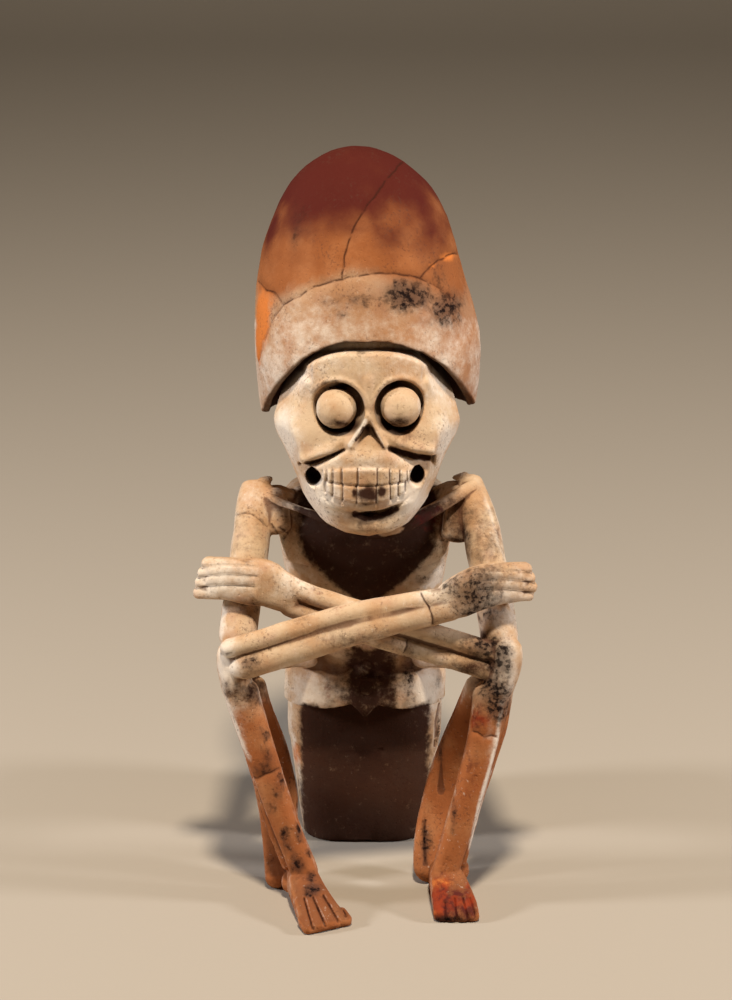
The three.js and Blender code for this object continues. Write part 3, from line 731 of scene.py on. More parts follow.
capCracks = [
    [(402, 162), (391, 174), (379, 190), (371, 201), (365, 209), (354, 226), (348, 243), (344, 262),
     (342, 279)],
    [(283, 305), (300, 296), (315, 287), (330, 282), (348, 277), (365, 275), (385, 273), (400, 274),
     (420, 278), (431, 283), (440, 288), (451, 296), (460, 305)],
    [(420, 277), (430, 267), (440, 260), (448, 255), (455, 253), (461, 256)],
    [(258, 281), (266, 290), (275, 292), (283, 305)],
    [(283, 305), (276, 313), (271, 322), (264, 341), (259, 360)],
]
limbCracks = [
    [(236, 515), (243, 513), (250, 513), (258, 518), (267, 526)],
    [(421, 592), (424, 600), (429, 607), (432, 616), (433, 625)],
    [(408, 640), (407, 646), (404, 652)],
    [(251, 777), (258, 778), (266, 774), (273, 772), (279, 767)],
    [(472, 731), (479, 733), (485, 738), (491, 735), (497, 737)],
    [(220, 651), (225, 655), (231, 653)],
    [(272, 524), (276, 532), (283, 540), (287, 533), (279, 527)],
]
toeGrooves = [
    # for each foot: the lines, their width and depth
    {"lines": [[(304, 898), (308, 912), (313, 929)], [(313, 897), (319, 911), (326, 926)],
               [(323, 895), (331, 908), (339, 922)], [(331, 893), (338, 903), (346, 915)]],
     "width": 0.85, "depth": 1.3},
    {"lines": [[(445, 903), (446, 919)], [(455, 899), (457, 919)], [(463, 898), (468, 918)],
               [(470, 898), (476, 917)]], "width": 0.8, "depth": 1.2},
]
incised = toeGrooves + [
    # fingers of the right and the left hand as they lie in the picture
    {"lines": [[(201, 568), (225, 565), (258, 567)], [(198, 577.5), (225, 575), (257, 576.5)],
               [(195, 588), (225, 585.5), (254, 587)]], "width": 0.5, "depth": 0.7},
    {"lines": [[(478, 572), (505, 570.5), (533, 573)], [(478, 581), (505, 580), (536, 583)],
               [(480, 590), (505, 590), (535, 593)]], "width": 0.5, "depth": 0.7},
    # ribs at the sides of the chest and across its middle
    {"lines": [[(281, 563), (292, 563), (307, 567)], [(447, 556), (436, 563), (420, 569)],
               [(445, 576), (432, 584), (418, 590)], [(431, 541), (448, 541)],
               [(448, 563), (432, 572), (419, 577)]], "width": 0.9, "depth": 0.7},
    {"lines": [[(322, 545), (345, 556), (370, 559), (395, 555), (415, 544)],
               [(325, 563), (347, 574), (370, 578), (394, 574), (412, 564)],
               [(330, 582), (350, 592), (370, 595), (392, 591), (408, 583)]], "width": 1.6, "depth": 0.35},
    # the two rings on the loincloth, and the slits in a calf and in the seat
    {"lines": [ring(366.5, 668.2, 7), ring(366.5, 688.8, 7.3)], "width": 0.6, "depth": 0.55},
    {"lines": [[(424.6, 822), (424.2, 843), (425.6, 863)]], "width": 1.0, "depth": 1.3},
    {"lines": [[(443, 700), (438, 722), (437, 745), (441, 770), (441, 790)]], "width": 1.3, "depth": 1.5},
]
cuts = {
    # depths and widths in mm, and how far the lines wander: amount, size, seed
    "crack": 0.7, "crackWidth": 0.45, "seam": 0.6, "seamWidth": 0.42,
    "wobble": (0.9, 3.2, 11), "incisedWobble": 0.3, "fresh": 0.65, "worn": (0.35, 4.5, 12),
}


def lineMask(px, py, lines, width):
    # 1 along the lines, fading over the width in mm
    mask = np.zeros(len(px))
    for line in lines:
        mask = np.maximum(mask, hump(lineDistance(px, py, line), width))
    return mask


def toothSeams(shift):
    # the lines between neighbouring teeth on the picture plane, moved sideways by the shift in mm
    lines = []
    for name, low, high in (("upper", "bite", "top"), ("lower", "foot", "bite")):
        for edge in teeth[name]:
            reach = min(abs(edge - muzzle["middle"]) / muzzle["half"], 0.99)
            front = muzzle["front"] + muzzle["depth"] * (1 - math.sqrt(1 - reach**2)) - teeth["raise"] / 2
            wave = (edge / teeth["reach"])**2
            ends = [[edge + shift, front, teeth[at][0] + teeth[at][1] * wave] for at in (high, low)]
            px, py, away = pictured(np.array(ends, float))
            lines.append(list(zip(px, py)))
    return lines


def carve(points, normals):
    # presses every line into the surface along its normal and returns the new points
    seen = seenPart(points, normals)
    px, py, away = pictured(points)
    wobble = scaledNoise(points, cuts["wobble"])
    fresh = cuts["fresh"] + scaledNoise(points, cuts["worn"])
    cracks = lineMask(px + wobble, py + wobble, capCracks + limbCracks, cuts["crackWidth"])
    press = cuts["crack"] * fresh * cracks
    for mark in incised:
        little = wobble * cuts["incisedWobble"]
        trace = lineMask(px + little, py + little, mark["lines"], mark["width"])
        press = np.maximum(press, mark["depth"] * trace)
    seams = lineMask(px, py, toothSeams(0), cuts["seamWidth"])
    press = np.maximum(press, cuts["seam"] * seams)
    return points - normals * (press * seen)[:, None]


handWork = {
    # height in mm, size and seed of each kind of unevenness
    "waves": (0.36, 17, 1), "ripples": (0.17, 7.5, 2), "pebble": (0.07, 2.1, 3), "chips": (0.25, 4.2, 4),
    "chipEdge": (0.7, 0.95),
    # what is left of it inside the cap and, of all but the pebbling, on the face
    "sheltered": 0.1, "shelter": 0.955, "face": 0.25, "faceDepths": (60, 50), "faceHeights": (186, 192),
    "foot": (0.0, 4.0),
}
capTop = 300             # from this height up there is only the outside of the cap


def unevenness(points, normals):
    # the hand-worked surface: slow waves, thumb-sized dents and a fine pebbling, calmer on the face
    x, d, z = points.T
    w = handWork
    calm = 1 - (1 - w["face"]) * (smoothStep(*w["faceDepths"], d) * smoothStep(*w["faceHeights"], z))
    swell = scaledNoise(points, w["waves"]) + scaledNoise(points, w["ripples"])
    height, size, seed = w["chips"]
    chips = -height * smoothStep(*w["chipEdge"], clayNoise(points, size, seed))
    move = (swell + chips) * calm + scaledNoise(points, w["pebble"])
    reach, above = capPlace(points)
    sheltered = (reach < w["shelter"]) & (above > 0) & (z < capTop)
    move = move * smoothStep(*w["foot"], z) * np.where(sheltered, w["sheltered"], 1)
    return points + normals * move[:, None]


def layDown(thing, points):
    thing.data.vertices.foreach_set("co", toFrame(points).astype(np.float32).ravel())
    thing.data.update()


def levelSole(points):
    # the soles, the heels and the seat end on one level
    points[:, 2] = np.maximum(points[:, 2], 0)
    return points


def makeFigure():
    addCap()
    addSkull()
    addTrunk()
    addArms()
    for hand in hands:
        addHand(hand)
    for leg in legs:
        addLeg(leg)
    thing = fuseShells()
    print("fused", len(thing.data.polygons), "faces")
    points, normals = layoutPoints(thing.data), layoutNormals(thing.data)
    points = unevenness(points, normals)
    points = carve(points, normals)
    layDown(thing, levelSole(points))
    x, d, z = points.T
    face, toes = clayBody["face"], clayBody["toes"]
    kept = (np.abs(x) < face["side"]) & (d < face["front"]) & (z > face["low"]) & (z < face["high"])
    kept |= (d < toes["front"]) & (z > toes["low"]) & (z < toes["high"])
    loose = thing.vertex_groups.new(name="loose")
    loose.add(np.flatnonzero(~kept).tolist(), 1.0, "REPLACE")
    thin = thing.modifiers.new("thin", "DECIMATE")
    thin.ratio = min(1, clayBody["triangles"] / (2 * len(thing.data.polygons)))
    thin.vertex_group = loose.name
    thing = settle(thing)
    thing.vertex_groups.clear()
    thing.name = thing.data.name = "figureClay"
    thing.data.polygons.foreach_set("use_smooth", np.ones(len(thing.data.polygons), bool))
    print("thinned", len(thing.data.polygons), "faces")
    return thing


# Stains, finishes, painted shade and painted highlights kept on the surface, laid out by pixel places of
# the photograph

tarSpots = [
    # x, y, half width, half height in pixels, strength
    (407, 295, 21, 13, 1.0), (398, 285, 9, 6, 0.9), (423, 300, 8, 8, 0.8), (447, 308, 15, 17, 0.8),
    (452, 318, 9, 9, 0.7), (355, 301, 27, 6, 0.62), (341, 315, 6, 5, 0.6), (438, 277, 9, 13, 0.5),
    (430, 322, 12, 5, 0.5), (295, 238, 6, 22, 0.4), (474, 594, 28, 24, 0.72), (455, 585, 12, 10, 0.7),
    (480, 614, 18, 8, 0.8), (482, 645, 18, 11, 0.85), (503, 652, 9, 10, 0.85), (498, 668, 12, 12, 0.8),
    (494, 690, 15, 14, 0.95), (500, 706, 9, 14, 0.9), (249, 662, 9, 9, 0.66), (250, 606, 15, 5, 0.6),
    (258, 731, 4, 4, 0.7), (267, 735, 6, 4, 0.7), (269, 757, 6, 9, 0.6), (261, 770, 8, 5, 0.7),
    (280, 779, 7, 8, 0.75), (278, 792, 6, 7, 0.7), (272, 807, 5, 7, 0.6), (298, 806, 4, 6, 0.6),
    (284, 836, 4, 9, 0.85), (287, 845, 4, 7, 0.8), (299, 830, 4, 7, 0.75), (300, 838, 3, 6, 0.7),
    (309, 852, 4, 4, 0.7), (293, 850, 3, 4, 0.6), (297, 865, 6, 7, 0.95), (311, 878, 5, 6, 0.8),
    (313, 889, 7, 6, 0.9), (309, 895, 5, 3, 0.7), (454, 813, 3, 15, 0.7), (425, 845, 3.5, 17, 0.8),
    (286, 745, 3, 20, 0.5), (470, 512, 9, 6, 0.45), (446, 516, 8, 9, 0.5), (430, 522, 8, 7, 0.6),
    (463, 537, 8, 14, 0.5), (437, 663, 5, 40, 0.35), (409, 672, 6, 25, 0.7), (412, 700, 5, 10, 0.7),
    (497, 700, 8, 14, 0.7), (470, 868, 6, 4, 0.4), (440, 740, 4, 30, 0.6), (226, 684, 5, 4, 0.6),
    (446, 920, 22, 3, 0.8), (420, 582, 10, 6, 0.5), (237, 700, 6, 12, 0.35), (300, 770, 5, 16, 0.35),
]
redSpots = [
    (440, 905, 16, 22, 0.9), (456, 905, 14, 18, 0.75), (447, 880, 12, 9, 0.5), (468, 905, 8, 20, 0.8),
    (480, 717, 12, 13, 0.7), (425, 520, 12, 9, 0.7), (438, 511, 8, 7, 0.5), (472, 765, 9, 26, 0.45),
    (457, 800, 7, 22, 0.35), (320, 590, 16, 9, 0.3), (340, 610, 18, 8, 0.35), (330, 690, 10, 22, 0.35),
]
# orange fill stains, and at (297, 754) a painted pool of light on the seat's left side
fillAndLitSpots = [
    (262, 318, 7, 26, 0.95), (258, 345, 4, 22, 0.9), (268, 300, 7, 10, 0.7), (448, 257, 10, 5, 0.7),
    (434, 266, 6, 4, 0.6), (470, 290, 5, 20, 0.5), (297, 754, 8, 14, 0.6), (441, 883, 12, 5, 0.7),
    (437, 915, 7, 5, 0.8),
]
# pale bloom, together with painted highlights where the side lights fall on the sides of the face, the
# elbows, the chest, the loincloth and the shins
paleAndHighlightSpots = [
    (227, 664, 9, 24, 1.1), (505, 605, 34, 26, 0.6), (505, 668, 10, 30, 0.9), (490, 545, 16, 40, 0.2),
    (300, 372, 14, 20, 0.75), (443, 372, 18, 30, 0.6), (283, 445, 12, 34, 0.95), (448, 452, 12, 32, 0.85),
    (318, 500, 20, 28, 0.95), (410, 500, 20, 26, 0.75), (365, 500, 40, 12, 0.4), (334, 460, 22, 14, 0.4),
    (400, 458, 24, 12, 0.3), (365, 465, 44, 8, 0.4), (320, 340, 60, 32, 0.45), (430, 350, 46, 34, 0.45),
    (275, 375, 18, 30, 0.65), (218, 580, 30, 20, 0.75), (295, 580, 22, 24, 0.55), (437, 570, 22, 34, 0.65),
    (310, 690, 30, 24, 0.55), (428, 690, 22, 26, 0.7), (245, 500, 20, 20, 0.35), (240, 740, 8, 60, 0.5),
    (490, 790, 6, 60, 0.6), (275, 510, 26, 10, 0.4),
    (350, 640, 60, 8, 0.25), (300, 605, 40, 6, 0.2), (430, 575, 18, 22, 0.9), (427, 690, 14, 20, 0.95),
]
# soot stains, together with painted shade in the mouth and smile, at the feet of the eyeballs, under the
# brows, in the nose and under the forearms and elbows
sootAndShadeSpots = [
    (367.7, 494, 8, 7, 1.2), (381.7, 492, 4, 5, 1.1), (354.3, 493, 2, 5, 1.0), (368, 503, 8, 3, 0.6),
    (371, 515, 17, 3.5, 0.9), (368, 527, 14, 3.5, 0.5), (350, 516, 7, 3, 0.35), (341, 424, 11, 4.5, 0.75),
    (398, 423, 13, 4.5, 0.75), (331, 386, 15, 4, 0.45), (367.5, 429, 3, 4, 0.8), (361, 352, 5, 2, 0.6),
    (335, 438, 8, 10, 0.3), (403, 438, 8, 10, 0.35), (425, 470, 20, 22, 0.12),
    (338, 688, 12, 20, 0.5), (450, 505, 16, 9, 0.6), (457, 540, 11, 24, 0.6), (478, 556, 9, 18, 0.45),
    (285, 520, 6, 22, 0.45), (300, 215, 10, 16, 0.3),
    (232, 692, 9, 5, 0.8), (470, 668, 16, 6, 0.9), (278, 500, 8, 8, 0.3), (246, 560, 10, 3, 0.4),
    (300, 620, 10, 4, 0.4), (266, 764, 12, 9, 0.4), (478, 660, 22, 12, 0.4), (330, 928, 22, 3, 0.4),
    (305, 878, 8, 4, 0.4), (243, 800, 4, 30, 0.2), (270, 860, 6, 18, 0.4), (362, 640, 60, 8, 0.4),
    (490, 545, 20, 50, 0.45), (243, 545, 18, 50, 0.28), (456, 530, 12, 30, 0.7), (253, 692, 14, 14, 0.7),
]
# painted shade along the cheek slits, the nose, the brow, the smile, beside the left shin and at the seat's
# left edge
shadeStrokes = [
    # lines of pixel places with their half width in mm and strength
    ([(391, 449), (404, 453), (417, 457), (428, 458)], 1.5, 1.0),
    ([(344, 450), (330, 456), (318, 461), (306, 463)], 0.9, 0.85),
    ([(363.5, 428), (360, 434), (356, 440)], 0.8, 0.75), ([(372, 428), (377, 437), (383, 447)], 0.8, 0.7),
    ([(312, 392), (318, 386), (327, 382), (337, 382)], 1.3, 0.5),
    ([(355, 514), (366, 518), (380, 516), (396, 509)], 1.7, 0.95),
    ([(238, 742), (252, 786), (268, 832)], 0.5, 0.6), ([(284, 738), (296, 786), (312, 842)], 0.6, 0.5),
]
# painted shade in the toe grooves
shadeStrokes += [(line, 0.5, 0.75) for line in toeGrooves[0]["lines"][:3]]
shadeStrokes += [(line, 0.5, 0.7) for line in toeGrooves[1]["lines"][1:]]
shadeStrokes += [(toeGrooves[0]["lines"][3], 0.5, 0.6)]
# painted highlights on the nose ridges, the toe ridges and the outer edges of the shins, the upper arms and
# the left back bone
highlightStrokes = [
    ([(365, 421), (357, 434), (350, 445)], 1.2, 0.8), ([(371, 421), (378, 434), (384, 446)], 0.5, 0.4),
    ([(306, 898), (310, 912), (315, 928)], 0.4, 0.2), ([(315, 897), (321, 911), (328, 925)], 0.4, 0.2),
    ([(325, 895), (333, 908), (341, 921)], 0.4, 0.2), ([(457, 899), (459, 918)], 0.4, 0.3),
    ([(465, 898), (470, 917)], 0.4, 0.3), ([(222, 690), (234, 722), (246, 756)], 1.3, 0.8),
    ([(224, 600), (222, 630), (217, 645)], 1.6, 0.8),
    ([(503, 700), (497, 740), (481, 800), (469, 850)], 0.9, 0.85),
    ([(488, 505), (498, 540), (505, 560)], 0.9, 0.5), ([(286, 706), (296, 750), (303, 800)], 0.7, 0.7),
]


def strokeMask(px, py, strokes):
    mask = np.zeros(len(px))
    for line, width, strength in strokes:
        mask = np.maximum(mask, strength * hump(lineDistance(px, py, line), width, 4))
    return mask


spotSpread, spotFall = 1.25, 0.9


def spotMask(px, py, spots):
    # each spot is a soft oval, and the strongest at a place counts
    mask = np.zeros(len(px))
    for x, y, rx, ry, strength in spots:
        near = ((px - x) / (rx * spotSpread))**2 + ((py - y) / (ry * spotSpread))**2
        mask = np.maximum(mask, strength * np.exp(-near * spotFall))
    return mask


def evened(values, edges, count, times):
    # averages each value with its neighbours along the edges
    degree = np.maximum(1, np.bincount(edges.ravel(), minlength=count))[:, None]
    one, other = edges.T
    for _ in range(times):
        total = np.stack([np.bincount(one, column[other], count) + np.bincount(other, column[one], count)
                          for column in values.T], -1)
        values = 0.5 * values + 0.5 * total / degree
    return values


hollows = {
    # the painted shade at the upper inner edge and the foot of the socket, and how far it lies off the
    # eyeball
    "least": 0.35, "upper": (0.3, 0.7), "inner": (-0.5, 0.3), "foot": (-0.3, -0.7), "clear": (0.2, 1.2),
    "socketEdge": (1.04, 0.95), "socketBack": 72,
    "mouthEdge": (1.08, 0.92), "mouthDepths": (46, 49), "mouthBack": 75,
    # painted shade under the cap: out in its section, above the rim, and on the lip's lower face
    "under": (0.97, 0.93), "underRim": (-4, 1.5), "lip": 0.85, "lipReach": (0.88, 0.92),
    "lipHeights": (-1, 3), "lipFacing": (-0.35, -0.75), "rimLowest": 214,
}


def hollowSoot(points, normals):
    # painted shade in the eye sockets, in the corners of the mouth and under the cap
    x, d, z = points.T
    h = hollows
    sootAndShade = np.zeros(len(points))
    for centre, half, ball in zip(sockets["centres"], sockets["half"], eyeballs["centres"]):
        u, w = (x - centre[0]) / half[0], (z - centre[1]) / half[1]
        clear = np.linalg.norm(points - ball, axis=1) - eyeballs["radius"]
        inner = -u * np.sign(centre[0])
        upper = smoothStep(*h["upper"], w) * smoothStep(*h["inner"], inner)
        strength = h["least"] + (1 - h["least"]) * np.maximum(smoothStep(*h["foot"], w), upper)
        inside = smoothStep(*h["socketEdge"], np.hypot(u, w)) * smoothStep(*h["clear"], clear)
        sootAndShade = np.maximum(sootAndShade, strength * (inside * (d < h["socketBack"])))
    for (cx, cz), (rx, rz) in zip(mouthCorner["places"], mouthCorner["half"]):
        r = np.hypot((x - cx) / rx, (z - cz) / rz)
        inside = smoothStep(*h["mouthEdge"], r) * smoothStep(*h["mouthDepths"], d)
        sootAndShade = np.maximum(sootAndShade, inside * (d < h["mouthBack"]))
    reach, above = capPlace(points)
    under = smoothStep(*h["under"], reach) * smoothStep(*h["underRim"], above)
    low, high = h["lipHeights"]
    lip = h["lip"] * smoothStep(*h["lipReach"], reach) * (above < high) * (above > low)
    lip = lip * smoothStep(*h["lipFacing"], normals[:, 2])
    return np.maximum(sootAndShade, np.maximum(under, lip) * (z < capTop) * (z > h["rimLowest"]))


trunkShade = {
    "facing": (0.1, -0.4), "middle": 1,
    # height and half width of the painted shade on the middle of the chest
    "chest": [[126, 0], [134, 9], [143, 19], [154, 30], [182, 33]], "chestEdge": (5, -3),
    "chestTop": 184, "chestFront": 62, "chestStrength": 0.95,
    "seatHalf": 34, "seatEdge": 6, "seatTop": 72, "seatFront": 88,
    "clothHalf": 12, "clothEdge": 3, "clothMiddle": 3, "cloth": (60, 104), "clothFront": 78,
    "clothStrength": 0.85,
}


def trunkPaintedShade(points, normals):
    # painted shade on the chest, the middle of the loincloth and the front of the seat
    x, d, z = points.T
    s = trunkShade
    ahead = smoothStep(*s["facing"], normals[:, 1])
    reach = np.interp(z, *np.array(s["chest"]).T)
    outer, inner = s["chestEdge"]
    chest = s["chestStrength"] * smoothStep(reach + outer, reach + inner, np.abs(x - s["middle"]))
    chest = chest * (z > s["chest"][0][0]) * (z < s["chestTop"]) * (d > s["chestFront"])
    half = s["seatHalf"]
    front = smoothStep(half, half - s["seatEdge"], np.abs(x)) * (z < s["seatTop"]) * (d > s["seatFront"])
    half, edge = s["clothHalf"], s["clothEdge"]
    cloth = s["clothStrength"] * smoothStep(half + edge, half - edge, np.abs(x - s["clothMiddle"]))
    cloth = cloth * (z > s["cloth"][0]) * (z < s["cloth"][1]) * (d > s["clothFront"])
    return np.maximum(np.maximum(chest, front), cloth) * ahead


# the last value moves the painted highlight beside each tooth seam
traces = {"crack": 0.36, "seam": 0.34, "seamShift": -0.3, "toothHighlightShift": 0.25}      # mm
capPaint = {
    "outside": (0.94, 0.97), "lip": -0.6,
    # the pale band, whose upper edge wavers and drops towards the back
    "bandTop": 291.7, "bandDrop": 18.7, "dropDepths": (50, 68), "bandEdge": (-5, 7), "waver": (3, 9, 14),
    "bandRed": 0.45, "leftRed": 0.25, "leftReach": (0, 45),
    # the dark top and its mottling, reaching lower on the figure's right
    "dark": 1.15, "darkHeights": (287, 328), "mottle": ((9, 15, 21), (5, 6, 22)),
    "rightDark": 0.3, "rightReach": (6, 45), "rightHeights": (276, 300),
}


def domeParts(points):
    # the reddish dome of the cap, its darker top, and the height above the edge of the pale band
    x, d, z = points.T
    c = capPaint
    reach, above = capPlace(points)
    onCap = np.where(z > capTop, 1, smoothStep(*c["outside"], reach) * (above > c["lip"]))
    band = z - c["bandTop"] + c["bandDrop"] * smoothStep(*c["dropDepths"], d)
    upper = smoothStep(*c["bandEdge"], band + scaledNoise(points, c["waver"]))
    dome = onCap * np.maximum(upper, c["bandRed"] + c["leftRed"] * smoothStep(*c["leftReach"], x))
    coarse, fine = (scaledNoise(points, kind) for kind in c["mottle"])
    side = c["rightDark"] * smoothStep(*c["rightReach"], -x) * smoothStep(*c["rightHeights"], z)
    dark = onCap * (c["dark"] * smoothStep(*c["darkHeights"], z + (coarse + fine)) + side)
    return dome, dark, band


worn = {
    # rounds of evening out that find the hollows, and the depth in mm of a full one, which gets the full
    # painted shade
    "rounds": 10, "hollow": 0.5,
    # the face, which always counts as seen
    "seenFront": 58, "seenAbove": 172,
    "legHeights": (106, 90), "legBack": 75, "soleFacing": (0.3, 0.8), "soleHeights": (22, 12),
    # the pale bloom on hidden faces, a painted side-light highlight on outward faces, and what is lost of
    # both on the dome and the legs
    "hiddenPale": 0.15, "hiddenClouds": (0.2, 24, 6), "outward": (0.7, 0.97), "outwardHighlight": 0.42,
    "outwardTop": 262, "domeLoss": 0.9, "bandEdge": -3, "legLoss": 0.5,
    "teethFront": 50, "teethFoot": 186, "seamStrength": 0.5,
    # splashes on hidden faces: strength, noise values, size and seed
    "splash": 0.55, "splashEdge": (0.45, 0.8), "splashNoise": (15, 8),
}


def markSurface(thing):
    # one value for each point and layer, which the material reads by the layer's name
    mesh = thing.data
    points, normals = layoutPoints(mesh), layoutNormals(mesh)
    count = len(points)
    x, d, z = points.T
    edges = np.empty(len(mesh.edges) * 2, np.int32)
    mesh.edges.foreach_get("vertices", edges)
    w = worn
    # how deep each point lies in a hollow; the material darkens it as painted shade
    soft = evened(points, edges.reshape(-1, 2), count, w["rounds"])
    bowlShade = ((soft - points) * normals).sum(1)
    seen = seenPart(points, normals, cell=4.0, behind=5.0)
    seen = np.where((d < w["seenFront"]) & (z > w["seenAbove"]), 1, seen)
    hidden = 1 - seen
    px, py, away = pictured(points)

    dome, dark, band = domeParts(points)
    leg = smoothStep(*w["legHeights"], z) * (d < w["legBack"])
    outward = smoothStep(*w["outward"], np.abs(normals[:, 0]))
    clouds = w["hiddenPale"] + scaledNoise(points, w["hiddenClouds"])
    paleAndHighlight = spotMask(px, py, paleAndHighlightSpots) * seen + hidden * clouds
    # painted side-light highlight on faces that turn outward
    paleAndHighlight = np.maximum(paleAndHighlight, w["outwardHighlight"] * outward * (z < w["outwardTop"]))
    paleAndHighlight = paleAndHighlight * (1 - np.maximum(w["domeLoss"] * dome * (band > w["bandEdge"]), w["legLoss"] * leg))
    paleAndHighlight = np.maximum(paleAndHighlight, strokeMask(px, py, highlightStrokes) * seen)
    onTeeth = (d < w["teethFront"]) & (z > w["teethFoot"])
    # painted highlight beside each tooth seam
    paleAndHighlight = np.maximum(paleAndHighlight, lineMask(px, py, toothSeams(traces["toothHighlightShift"]), traces["seam"]) * onTeeth)
    wobble = scaledNoise(points, cuts["wobble"])
    crack = lineMask(px + wobble, py + wobble, capCracks + limbCracks, traces["crack"])
    seam = lineMask(px, py, toothSeams(traces["seamShift"]), traces["seam"])
    sootAndShade = np.maximum(spotMask(px, py, sootAndShadeSpots), strokeMask(px, py, shadeStrokes))
    splashes = w["splash"] * smoothStep(*w["splashEdge"], clayNoise(points, *w["splashNoise"]))
    sole = leg * smoothStep(*w["soleFacing"], normals[:, 2]) * smoothStep(*w["soleHeights"], z)
    # the soot layer also carries painted shade, the hollow and bowl layers are painted shade, the pale
    # layer also carries painted highlights and the orange fill a painted pool of light
    layers = {
        "tar": spotMask(px, py, tarSpots) * seen + hidden * splashes,
        "redPaint": spotMask(px, py, redSpots) * seen,
        "orangeFillAndLit": spotMask(px, py, fillAndLitSpots) * seen,
        "paleAndHighlight": paleAndHighlight,
        "sootAndShade": np.maximum(sootAndShade * seen, trunkPaintedShade(points, normals)),
        "hollow": hollowSoot(points, normals),
        "dome": np.clip(dome, 0, 1),
        "leg": leg,
        "sole": sole,
        "dark": np.clip(dark, 0, 1),
        "crack": np.maximum(crack, w["seamStrength"] * seam * onTeeth) * seen,
        "bowlShade": np.clip(bowlShade / w["hollow"], -1, 1),
    }
    for name, values in layers.items():
        mesh.attributes.new(name, "FLOAT", "POINT").data.foreach_set("value", values.astype(np.float32))
    print("surface marked")


# Shader helpers

def feed(tree, socket, value):
    if isinstance(value, bpy.types.NodeSocket):
        tree.links.new(value, socket)
    else:
        socket.default_value = value


def wire(tree, kind, inputs=None, **settings):
    node = tree.nodes.new(kind)
    for name, value in settings.items():
        setattr(node, name, value)
    for name, value in (inputs or {}).items():
        feed(tree, node.inputs[name], value)
    return node


def calc(tree, operation, *values, clamped=False):
    inputs = dict(enumerate(values))
    return wire(tree, "ShaderNodeMath", inputs, operation=operation, use_clamp=clamped).outputs[0]


def noiseAt(tree, vector, scale, detail, roughness):
    inputs = {"Vector": vector, "Scale": scale, "Detail": detail, "Roughness": roughness}
    return wire(tree, "ShaderNodeTexNoise", inputs).outputs["Fac"]


def spreadOver(tree, value, low, high, start=0.0, end=1.0, shape="SMOOTHSTEP"):
    # the part of the value between low and high, spread from start to end
    inputs = {"Value": value, "From Min": low, "From Max": high, "To Min": start, "To Max": end}
    return wire(tree, "ShaderNodeMapRange", inputs, interpolation_type=shape).outputs["Result"]


def newGroup(name, inputs, result):
    # a node group with one float output; an input without a value of its own is a vector
    tree = bpy.data.node_groups.new(name, "ShaderNodeTree")
    for label, value in inputs.items():
        kind = "NodeSocketVector" if value is None else "NodeSocketFloat"
        socket = tree.interface.new_socket(name=label, in_out="INPUT", socket_type=kind)
        if value is not None:
            socket.default_value = value
    tree.interface.new_socket(name=result, in_out="OUTPUT", socket_type="NodeSocketFloat")
    given = tree.nodes.new("NodeGroupInput").outputs
    return tree, given, tree.nodes.new("NodeGroupOutput").inputs[result]


def placeGroup(tree, group, inputs):
    node = tree.nodes.new("ShaderNodeGroup")
    node.node_tree = group
    for name, value in inputs.items():
        feed(tree, node.inputs[name], value)
    return node.outputs[0]


def cloudGroup():
    # soft clouds: noise whose values between Low and High are spread from 0 to 1
    inputs = {"Vector": None, "Scale": 60.0, "Low": 0.35, "High": 0.65}
    tree, given, result = newGroup("clayClouds", inputs, "Value")
    noise = noiseAt(tree, given["Vector"], given["Scale"], 6.0, 0.6)
    tree.links.new(spreadOver(tree, noise, given["Low"], given["High"]), result)
    return tree


def patchGroup():
    # a stain: its mask is broken up by noise and cut to a ragged edge
    inputs = {"Mask": 0.0, "Vector": None, "Scale": 300.0, "Ragged": 0.8, "Edge": 0.15}
    tree, given, result = newGroup("raggedPatch", inputs, "Value")
    centred = calc(tree, "SUBTRACT", noiseAt(tree, given["Vector"], given["Scale"], 7.0, 0.7), 0.5)
    shifted = calc(tree, "MULTIPLY_ADD", centred, given["Ragged"], given["Mask"])
    low, high = (calc(tree, way, 0.5, given["Edge"]) for way in ("SUBTRACT", "ADD"))
    cut = spreadOver(tree, shifted, low, high)
    near = spreadOver(tree, given["Mask"], 0.03, 0.2)
    tree.links.new(calc(tree, "MULTIPLY", cut, near), result)
    return tree


def grainGroup():
    # height of the bare clay: grit, slow waves, a few pits and long faint scraping marks
    inputs = {"Vector": None, "Grit": 1.0, "Pits": 1.0, "Scrapes": 1.0}
    tree, given, result = newGroup("clayGrain", inputs, "Height")
    place = given["Vector"]
    holes = wire(tree, "ShaderNodeTexVoronoi", {"Vector": place, "Scale": 330.0, "Randomness": 1.0})
    pit = spreadOver(tree, holes.outputs["Distance"], 0.02, 0.22, -1.0, 0.0)
    stretch = wire(tree, "ShaderNodeMapping", {"Vector": place, "Scale": (1.0, 1.0, 0.09)})
    scrape = noiseAt(tree, stretch.outputs["Vector"], 620.0, 2.0, 0.5)
    wave = noiseAt(tree, place, 210.0, 3.0, 0.55)
    total = calc(tree, "MULTIPLY", noiseAt(tree, place, 900.0, 4.0, 0.7), given["Grit"])
    for part, share in ((wave, 1.2), (pit, given["Pits"]), (scrape, given["Scrapes"])):
        total = calc(tree, "MULTIPLY_ADD", part, share, total)
    tree.links.new(total, result)
    return tree


